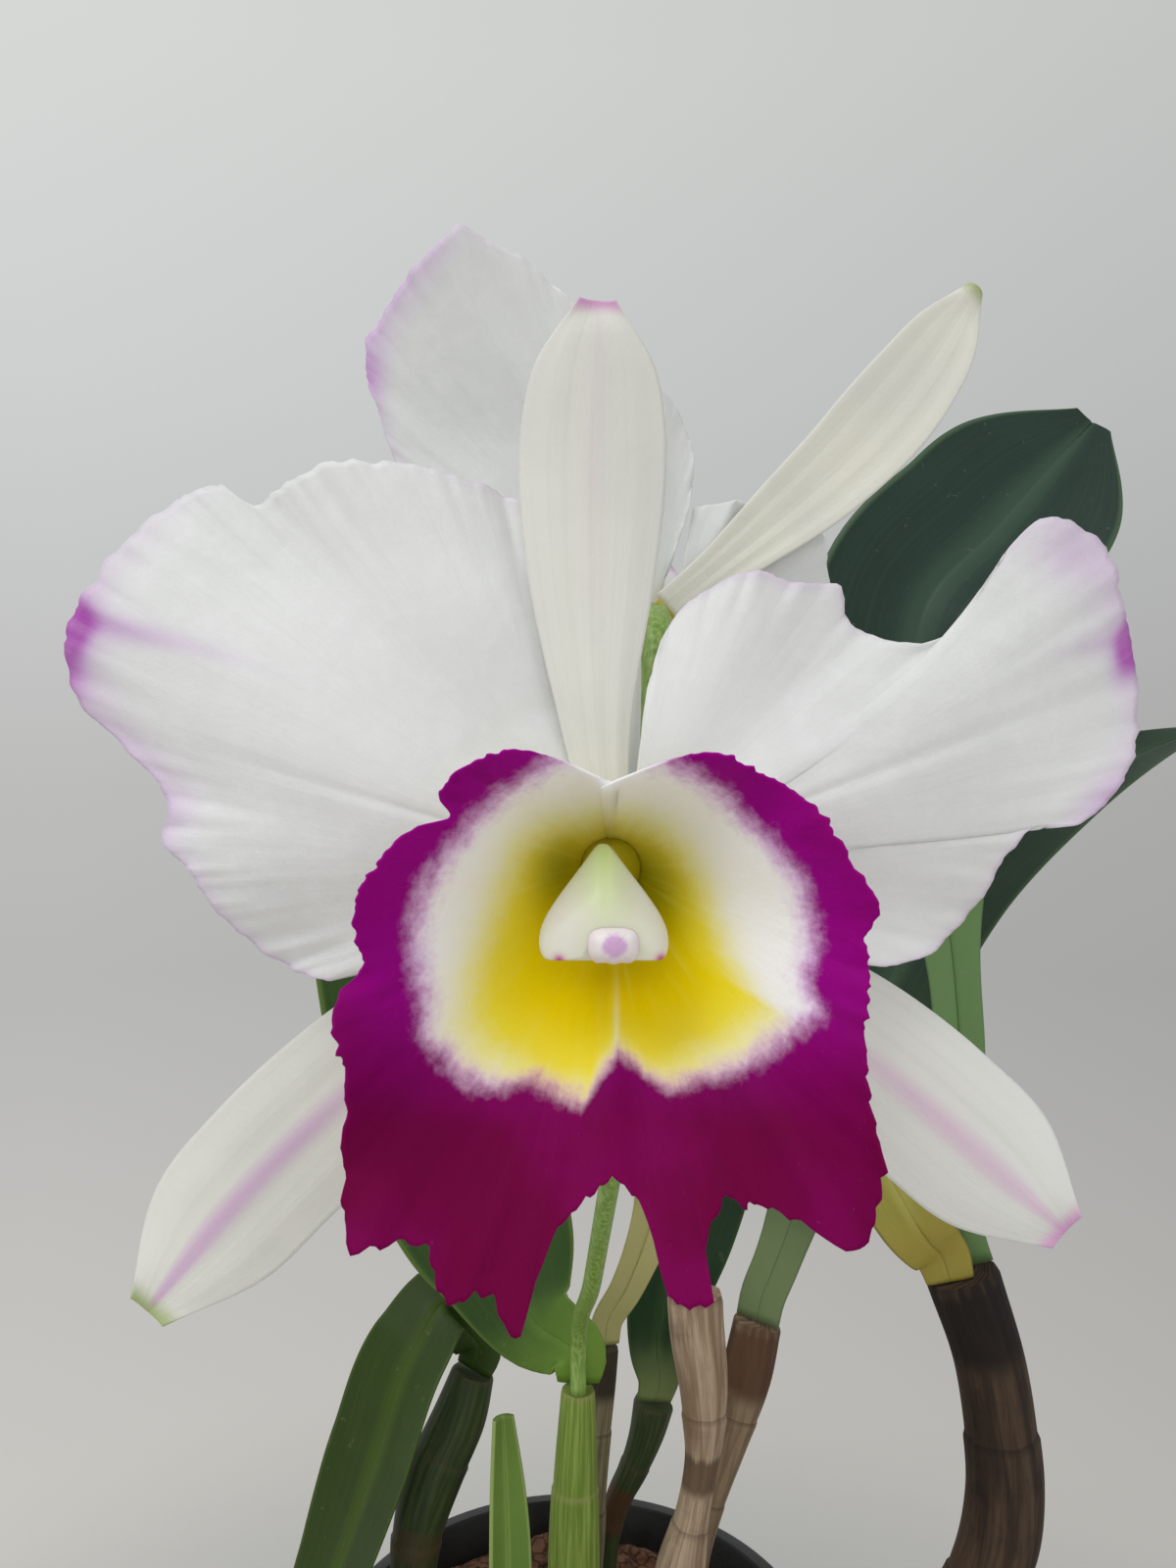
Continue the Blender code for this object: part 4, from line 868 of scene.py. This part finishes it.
# Each petal's outline, evenness, tuck, midrib height and bloom; how strongly its rim is stained at even steps
# along the outline, and how broad that is as a share of a vein; then its flares, each with x, z, length and
# breadth in millimetres, degrees and strength.
petals = {
    "front_left_petal": (
        ROUND_PETAL, 0.7, 7.0, 3.0, FRONT_BODY,
        [0.3, 0.45, 0.4, 0.5, 0.5, 0.42, 0.3, 0.12, 0.1, 0.3, 0.25],
        [0.05, 0.05, 0.06, 0.12, 0.2, 0.12, 0.08, 0.04, 0.04, 0.05, 0.05],
        [(-76, 32.5, 5, 3.2, 62, 0.75), (-66, 32, 14, 2.2, -13, 0.34), (-53, 28.2, 20, 1.4, -18, 0.14),
         (-77, 26, 6, 4, 40, 0.25)],
    ),
    "front_right_petal": (
        BAY_PETAL, 0.0, 0.0, 4.6, FRONT_BODY,
        [0.3, 0.4, 0.35, 0.4, 0.42, 0.4, 0.32, 0.0, 0.35, 0.4, 0.1],
        [0.06, 0.06, 0.05, 0.1, 0.08, 0.14, 0.1, 0.03, 0.05, 0.05, 0.03],
        [(74, 31, 5, 2.6, 72, 0.85), (66, 30, 9, 1.6, 14, 0.22), (64, 42, 6, 4, 0, 0.2),
         (68, 9, 6, 3, 30, 0.2)],
    ),
    "back_left_petal": (BACK_LOWER_PETAL, 0.0, 0.0, 2.0, BACK_BODY, [0.1, 0.2, 0.5, 0.6, 0.2, 0.05, 0.05],
                        [0.05, 0.06, 0.1, 0.12, 0.05, 0.03, 0.03], []),
    "back_right_petal": ([(-x, z, bow) for x, z, bow in BACK_UPPER_PETAL], 0.0, 0.0, 2.0, BACK_BODY,
                         [0.1, 0.2, 0.35, 0.5, 0.55, 0.25, 0.1, 0.12, 0.12, 0.05],
                         [0.05, 0.06, 0.08, 0.08, 0.08, 0.06, 0.05, 0.03, 0.03, 0.03],
                         [(63, -3, 5, 3, 50, 0.3)]),
}
for seed, (node, (outline, evenness, tuck, ridge, body, rims, breadths, flares)) in enumerate(petals.items()):
    surface = fan(outline, evenness, tuck, 3.7 * seed, ridge)
    petal = sheet_of(220, 64, surface, Matrix())
    flat = petal.data.uv_layers.active.data
    places = {loop.vertex_index: flat[loop.index].uv.copy() for loop in petal.data.loops}
    along_rim = rim_places(outline, (math.copysign(HUB_RADIUS + GAP, outline[0][0]), 1.0), evenness)
    stains = point_marks(petal, "stain")["stain"]
    for vert in petal.data.vertices:
        u, v = places[vert.index]
        rim_share = along_rim(u)[-1]
        breadth = even_steps(breadths, rim_share)
        amount = even_steps(rims, rim_share) * max(0, min(1, (v - 1 + 2 * breadth) / (2 * breadth))) ** 2
        x, z = vert.co.x / MM, vert.co.z / MM
        for flare_x, flare_z, length, spread, degrees, strength in flares:
            cos, sin = math.cos(math.radians(degrees)), math.sin(math.radians(degrees))
            along = ((x - flare_x) * cos + (z - flare_z) * sin) / length
            across = ((z - flare_z) * cos - (x - flare_x) * sin) / spread
            amount += strength * math.exp(-along * along - across * across)
        stains.data[vert.index].value = amount
    petal.data.transform(body)
    thicken(petal, 0.55, lambda u, v: 1 - 0.5 * v ** 6)
    hand_over(petal, f"{node}_blade", petal_skin, "petal_white", node)


# Lip: the third petal, rolled into a tube round the column and flared into a frilled front lobe.
# Yellow in the throat, then white, then a magenta band that fills the whole front lobe.
LIP_EDGE = [
    (0.6, 10.9), (-2.2, 12.0), (-6.4, 13.8), (-10.7, 14.8), (-15.0, 13.6), (-17.6, 12.2), (-19.4, 9.4),
    (-18.4, 7.4), (-21.8, 6.3), (-25.4, 2.6), (-27.4, -0.6), (-27.9, -5.6), (-27.4, -9.0),
    (-29.4, -11.3), (-28.2, -19.2), (-28.7, -28.2), (-27.1, -36.8),
    (-22.1, -36.3), (-19.1, -38.3), (-17.6, -41.8), (-13.6, -41.3), (-10.0, -45.0), (-8.5, -40.3),
    (-5.0, -34.3), (-3.0, -32.6), (-0.4, -32.0), (1.9, -33.0), (3.4, -35.6), (4.2, -38.3),
    (5.6, -41.8), (9.9, -41.8), (9.1, -36.3),
    (11.1, -33.3), (16.1, -33.6), (25.7, -37.6), (27.7, -29.2), (26.4, -22.2), (26.2, -14.2),
    (27.0, -10.0), (26.8, -5.6), (27.9, -2.5), (25.0, 2.7), (21.3, 8.9), (16.3, 12.1), (10.2, 14.5),
    (6.0, 13.6), (1.8, 12.0), (-1.6, 10.6),
]
LIP_REACH = [12, 19, 23, 27, 34, 43, 41, 43, 34, 28, 25, 19.5, 12]
LIP_FORWARD = [21, 29, 32.5, 35, 37.5, 38, 41, 38, 37.5, 35, 33, 29, 21]
LIP_CENTRE = (-0.8, -0.5)
# The inner edge of the magenta band and the edge of the yellow, as picture points seen from the lens.
BAND_EDGE = [
    (575, 768), (530, 795), (495, 820), (465, 855), (437, 890), (420, 940), (425, 990), (432, 1025),
    (428, 1058), (455, 1085), (490, 1113), (545, 1105), (595, 1132), (610, 1105), (630, 1075),
    (650, 1090), (680, 1115), (710, 1105), (760, 1090), (800, 1065), (837, 1035), (825, 1000),
    (832, 955), (822, 905), (795, 865), (765, 835), (730, 800), (675, 770),
]
YELLOW_EDGE = [
    (625, 832), (590, 835), (555, 838), (527, 858), (512, 890), (495, 930), (482, 970), (468, 1020),
    (463, 1050), (485, 1085), (530, 1108), (595, 1135), (610, 1105), (630, 1075), (650, 1095),
    (680, 1112), (720, 1095), (770, 1062), (795, 1035), (768, 1010), (748, 975), (732, 930),
    (717, 890), (692, 855), (660, 838),
]
PICTURE_MIDDLE, THROAT_PICTURE, FOCAL_PIXELS = (600, 800), (628, 945), 1203
# Where the front bloom's middle lies from the lens: to its right, below it and in front of it.
JUNCTION_RIGHT, JUNCTION_BELOW, JUNCTION_DEPTH = 3, 11, 160


def lip_point(turn, v):
    """The lip at a share v of the way from the column to its edge, before its edge is cut."""
    aim = Vector((math.cos(turn), 0, math.sin(turn)))
    centre = Vector((LIP_CENTRE[0], 0, LIP_CENTRE[1]))
    share = min(1, max(0, (turn - math.pi / 2) / math.tau))
    start = aim * (HUB_RADIUS + GAP + 0.25) + Vector((0, -3.8, 0))
    width = 8.5 + 5.5 * abs(aim.x) + 3.5 * max(0, -aim.z)
    tube = centre + aim * width - Vector((0, 15 + 2 * max(0, -aim.z), 0))
    edge = centre + aim * even_steps(LIP_REACH, share)
    edge.y = -even_steps(LIP_FORWARD, share) - 1.2 * math.sin(9 * turn)
    flare = tube.lerp(edge, 0.5) + Vector((0, -5, 0))
    s = 1 - v
    return s ** 3 * start + 3 * s * s * v * tube + 3 * s * v * v * flare + v ** 3 * edge


LOBE_CORNERS = [math.pi + 0.34, math.tau - 0.30]  # where the side lobes join the front lobe
lip_rim = rim_places(LIP_EDGE, LIP_CENTRE, 0.6)
lip_start = math.atan2(LIP_EDGE[0][1] - LIP_CENTRE[1], LIP_EDGE[0][0] - LIP_CENTRE[0])
lip_end = math.atan2(LIP_EDGE[-1][1] - LIP_CENTRE[1], LIP_EDGE[-1][0] - LIP_CENTRE[0]) + math.tau
lip_reaches = {}


def lip_surface(u, v):
    """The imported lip's form, cut where it meets its edge, with fine teeth and folds."""
    if u not in lip_reaches:
        share, x, z, _ = lip_rim(u)
        turn = lip_start + (lip_end - lip_start) * share
        low, high = 0.0, 1.3
        for _ in range(24):
            middle = (low + high) / 2
            point = lip_point(turn, middle)
            inside = math.hypot(point.x - LIP_CENTRE[0], point.z - LIP_CENTRE[1]) < math.hypot(
                x - LIP_CENTRE[0], z - LIP_CENTRE[1])
            low, high = (middle, high) if inside else (low, middle)
        tooth = 0.016 * noise.noise(Vector((u * 90, 0, 0))) + 0.026 * noise.noise(Vector((u * 190, 5, 0)))
        lip_reaches[u] = turn, low + tooth * min(1, max(0, 8 * math.sin(math.pi * u) - 1))
    turn, reach = lip_reaches[u]
    v *= reach
    point = lip_point(turn, v)
    lower = max(0.0, -math.sin(turn))
    fold = 0.8 * math.sin(13 * turn + 1.0) + 0.7 * noise.noise(Vector((turn * 5, v * 2, 0)))
    keel = 0.9 * math.exp(-((turn - 1.5 * math.pi - 0.02) / 0.07) ** 2) * lower
    point.y += (fold * v ** 4 + 0.35 * noise.noise(Vector((turn * 16, v * 3, 2))) * v ** 3) * (0.4 + lower)
    point.z += keel * math.sin(math.pi * v)
    for corner in LOBE_CORNERS:
        point.y += 1.2 * math.exp(-((turn - corner) / 0.035) ** 2) * v ** 5
    point.y += 0.9 * (0.5 - u) * math.exp(-(math.sin(math.pi * u) / 0.12) ** 2)
    return point


def share_of(edge, x, z):
    """How far out a picture point lies: 1 on the edge, less inside it."""
    around = [math.atan2(pz - THROAT_PICTURE[1], px - THROAT_PICTURE[0]) for px, pz in edge]
    reach = [math.hypot(px - THROAT_PICTURE[0], pz - THROAT_PICTURE[1]) for px, pz in edge]
    order = np.argsort(around)
    turn = math.atan2(z - THROAT_PICTURE[1], x - THROAT_PICTURE[0])
    here = np.interp(turn, np.array(around)[order], np.array(reach)[order], period=math.tau)
    return math.hypot(x - THROAT_PICTURE[0], z - THROAT_PICTURE[1]) / here


lip_skin = Finish("lip_skin", Subsurface_Weight=0.3, Subsurface_Scale=1.2 * MM,
                  Subsurface_Radius=(1, 1, 1), Specular_IOR_Level=0.06)
band, disc = lip_skin.mark("band"), lip_skin.mark("disc")
feathers = lip_skin.cloud(lip_skin.join(lip_skin.u * 170, lip_skin.v * 9), 1.0, 3, 0.6)
rays = lip_skin.cloud(lip_skin.join(lip_skin.u * 50, lip_skin.v * 2.5), 1.0, 3, 0.55)
soft = lip_skin.cloud(lip_skin.place, 60, 3)
speckle = lip_skin.cloud(lip_skin.place, 420, 5, 0.7)
grain = lip_skin.cloud(lip_skin.place, 1400, 3, 0.6)
# Olive beside the column is partly the throat's own colour and partly painted shade; under the column's tip
# it is a painted shadow.
yellow = lip_skin.blend(lip_skin.mark("olive_and_column_shadow"), paint(252, 226, 10), paint(170, 162, 14))
yellow = lip_skin.blend(lip_skin.mark("glow"), yellow, paint(255, 222, 0))
yellow = lip_skin.blend(disc.ease(0.5, 1.0) * 0.6, yellow, paint(244, 234, 104))
yellow = lip_skin.blend(rays.ease(0.5, 0.75) * 0.15, yellow, paint(255, 244, 120))
yellow = lip_skin.blend(lip_skin.mark("seam") * 0.7, yellow, paint(250, 246, 200))
pale = (disc + (rays - 0.5) * 0.10 + (speckle - 0.5) * 0.14).ease(1.12, 0.76)
creamy = (disc + (soft - 0.5) * 0.2).ease(1.3, 0.95)
cream = lip_skin.blend(creamy, paint(250, 250, 250), paint(248, 246, 214))
colour = lip_skin.blend(pale, cream, yellow)
magenta = lip_skin.blend(band.ease(1.05, 1.6), paint(150, 0, 132), paint(134, 0, 102))
magenta = lip_skin.blend(lip_skin.mark("front") * 0.9, magenta, paint(110, 0, 58))
magenta = lip_skin.blend(rays.ease(0.45, 0.75) * 0.3, magenta, paint(96, 0, 60))
magenta = lip_skin.blend(soft.ease(0.45, 0.7) * 0.25, magenta, paint(156, 8, 120))
# A painted sheen: pale pink streaks over the magenta where its velvet catches the light.
painted_sheen = lip_skin.cloud(lip_skin.join(lip_skin.u * 300, lip_skin.v * 40), 1.0, 3, 0.7)
magenta = lip_skin.blend(painted_sheen.ease(0.66, 0.8) * soft.ease(0.5, 0.62) * 0.5, magenta, paint(196, 96, 176))
edge = band + (feathers - 0.5) * 0.05 + (speckle - 0.5) * 0.16 + (soft - 0.5) * 0.08
flushed = lip_skin.blend(edge.ease(0.86, 1.0) * 0.5, colour, paint(196, 96, 208))
lip_skin.cover(Base_Color=lip_skin.blend(edge.ease(0.93, 1.08), flushed, magenta),
               Roughness=0.5 + rays * 0.15 + grain * 0.1)
lip_skin.relief(rays * 0.5 + feathers * 0.2 + speckle * 0.3 + grain * 0.2, 0.25)
for bloom, body in (("front", FRONT_BODY), ("back", BACK_BODY)):
    lip = sheet_of(460, 70, lip_surface, Matrix())
    marks = point_marks(lip, "band", "disc", "front", "olive_and_column_shadow", "glow", "seam")
    for vert in lip.data.vertices:
        x, y, z = vert.co / MM
        across = PICTURE_MIDDLE[0] + FOCAL_PIXELS * (x + JUNCTION_RIGHT) / (y + JUNCTION_DEPTH)
        down = PICTURE_MIDDLE[1] - FOCAL_PIXELS * (z - JUNCTION_BELOW) / (y + JUNCTION_DEPTH)

        def spot(middle_x, middle_y, breadth, height):
            return math.exp(-((across - middle_x) / breadth) ** 2 - ((down - middle_y) / height) ** 2)

        marks["band"].data[vert.index].value = share_of(BAND_EDGE, across, down)
        marks["disc"].data[vert.index].value = share_of(YELLOW_EDGE, across, down)
        marks["front"].data[vert.index].value = min(1, max(0, (down - 1020) / 130))
        # The spots beside the column darken the yellow to olive, part colour and part painted shade; the flat
        # spot under its tip is a painted shadow.
        marks["olive_and_column_shadow"].data[vert.index].value = min(1, spot(566, 880, 34, 60) + spot(668, 905, 42, 70)
                                                   + 0.6 * spot(625, 1000, 60, 24))
        marks["glow"].data[vert.index].value = min(1, spot(560, 1040, 60, 50) + spot(680, 1040, 60, 50))
        marks["seam"].data[vert.index].value = spot(628, 1050, 2.5, 40)
    lip.data.transform(body)
    thicken(lip, 0.6, lambda u, v: 1 - 0.5 * v ** 6)
    hand_over(lip, f"{bloom}_lip_blade", lip_skin, "lip_magenta", f"{bloom}_lip")


# Column: the waxy, pale green body in the throat that carries sepals, petals and lip.
# It arches forward, widens into two wings and ends in a hood whose corners are dotted magenta.
COLUMN = [
    (0.9, 0.0, 3.4, 3.4), (-4.2, 0.0, 3.9, 3.9), (-8.0, -0.3, 3.7, 3.6), (-14.0, -0.9, 4.6, 4.2),
    (-19.0, -1.4, 6.8, 5.2), (-24.0, -3.6, 10.0, 5.4), (-27.5, -5.5, 9.2, 4.5), (-28.6, -6.3, 7.0, 3.4),
    (-29.2, -6.9, 3.4, 1.9),
]


def column_surface(u, v):
    y, height, half_width, half_height = through(COLUMN, v)
    hood = min(1, max(0, (-6 - y) / 8))
    turn = math.tau * (u % 1.0)
    rise = (1 + math.sin(turn)) / 2
    square = math.copysign(abs(math.cos(turn)) ** (1 - 0.4 * hood), math.cos(turn))
    x = half_width * square * (1 - 0.78 * hood * rise) - 1.2 * hood
    y -= 0.9 * math.exp(-((x + 0.8) / 2.4) ** 4) * hood * (1 - v)
    return (x, y, height + half_height * max(math.sin(turn), 0.3 * hood - 1))


column_skin = Finish("column_skin", Subsurface_Weight=0.4, Subsurface_Scale=2 * MM,
                     Subsurface_Radius=(1, 1, 0.8), Roughness=0.38, Specular_IOR_Level=0.35)
bloom_cloud = column_skin.cloud(column_skin.place, 120, 4, 0.6)
column_grain = column_skin.cloud(column_skin.place, 900, 3)
crest, dots = column_skin.mark("crest"), column_skin.mark("dots")
colour = column_skin.blend(crest, paint(232, 234, 212), paint(190, 210, 122))
colour = column_skin.blend(bloom_cloud.ease(0.45, 0.7) * 0.25, colour, paint(226, 214, 224))
colour = column_skin.blend(dots, colour, paint(196, 60, 150))
colour = column_skin.blend(column_skin.v.ease(0.42, 0.32), colour, paint(176, 166, 30))
column_skin.cover(Base_Color=colour)
column_skin.relief(bloom_cloud * 0.6 + column_grain * 0.3, 0.12)
for bloom, body in (("front", FRONT_BODY), ("back", BACK_BODY)):
    column = sheet_of(72, 90, column_surface, Matrix())
    marks = point_marks(column, "crest", "dots")
    for vert in column.data.vertices:
        x, y, z = vert.co / MM
        high = min(1, max(0, (z + 6.5) / 10))
        marks["crest"].data[vert.index].value = high * min(1, max(0.3, 1 - abs(x + 1.2) / 7))
        corner = min((x + 6.2) ** 2, (x - 5.2) ** 2) + (z + 8.6) ** 2
        marks["dots"].data[vert.index].value = math.exp(-corner / 0.35) * (y < -20)
    column.data.transform(body)
    close_tube(column)
    hand_over(column, f"{bloom}_column_body", column_skin, "column_cream", f"{bloom}_column")


# Anther cap: a small cap under the tip of the column, white with a violet middle and two grooves.
# A thin brown line shows where it sits in the hood.
CAP_DEPTH = -29.95


def cap_surface(u, v):
    swing = math.pi * (v * 0.96 + 0.02)
    turn = math.tau * (u % 1.0)
    belly = math.sin(swing) ** 0.7
    across = math.copysign(abs(math.cos(turn)) ** (1 - 0.4 * belly ** 2), math.cos(turn))
    upward = math.copysign(abs(math.sin(turn)) ** (1 - 0.4 * belly ** 2), math.sin(turn))
    scallop = 0.1 * math.cos(3 * math.pi * across) * (upward < 0)
    groove = 0.35 * math.exp(-((abs(across) - 0.62) / 0.12) ** 2) * belly ** 2
    y = CAP_DEPTH + (2.2 - groove) * math.cos(swing)
    return (2.85 * belly * across - 0.2, y, (2.0 + scallop) * belly * upward - 6.8)


cap_skin = Finish("cap_skin", Subsurface_Weight=0.3, Subsurface_Scale=1 * MM,
                  Subsurface_Radius=(1, 1, 1), Roughness=0.45)
cap_violet, cap_grain = cap_skin.mark("middle"), cap_skin.cloud(cap_skin.place, 1500, 3)
cap_middle = (cap_violet + (cap_grain - 0.5) * 0.35).ease(0.25, 0.7)
cap_colour = cap_skin.blend(cap_middle * 0.8, paint(240, 234, 232), paint(206, 150, 208))
cap_skin.cover(Base_Color=cap_skin.blend(cap_skin.mark("outline") * 0.7, cap_colour, paint(140, 116, 100)))
for bloom, body in (("front", FRONT_BODY), ("back", BACK_BODY)):
    cap = sheet_of(72, 36, cap_surface, Matrix())
    marks = point_marks(cap, "middle", "outline")
    for vert in cap.data.vertices:
        x, y, z = vert.co / MM
        middle = math.exp(-((x + 0.1) / 1.5) ** 2 - ((z + 6.6) / 1.4) ** 2)
        marks["middle"].data[vert.index].value = middle * (y < CAP_DEPTH)
        marks["outline"].data[vert.index].value = math.exp(-((y + 29.9) / 0.4) ** 2) * (z > -8.0)
    cap.data.transform(body)
    close_tube(cap)
    hand_over(cap, f"{bloom}_cap", cap_skin, "anther_pink", f"{bloom}_anther_cap")
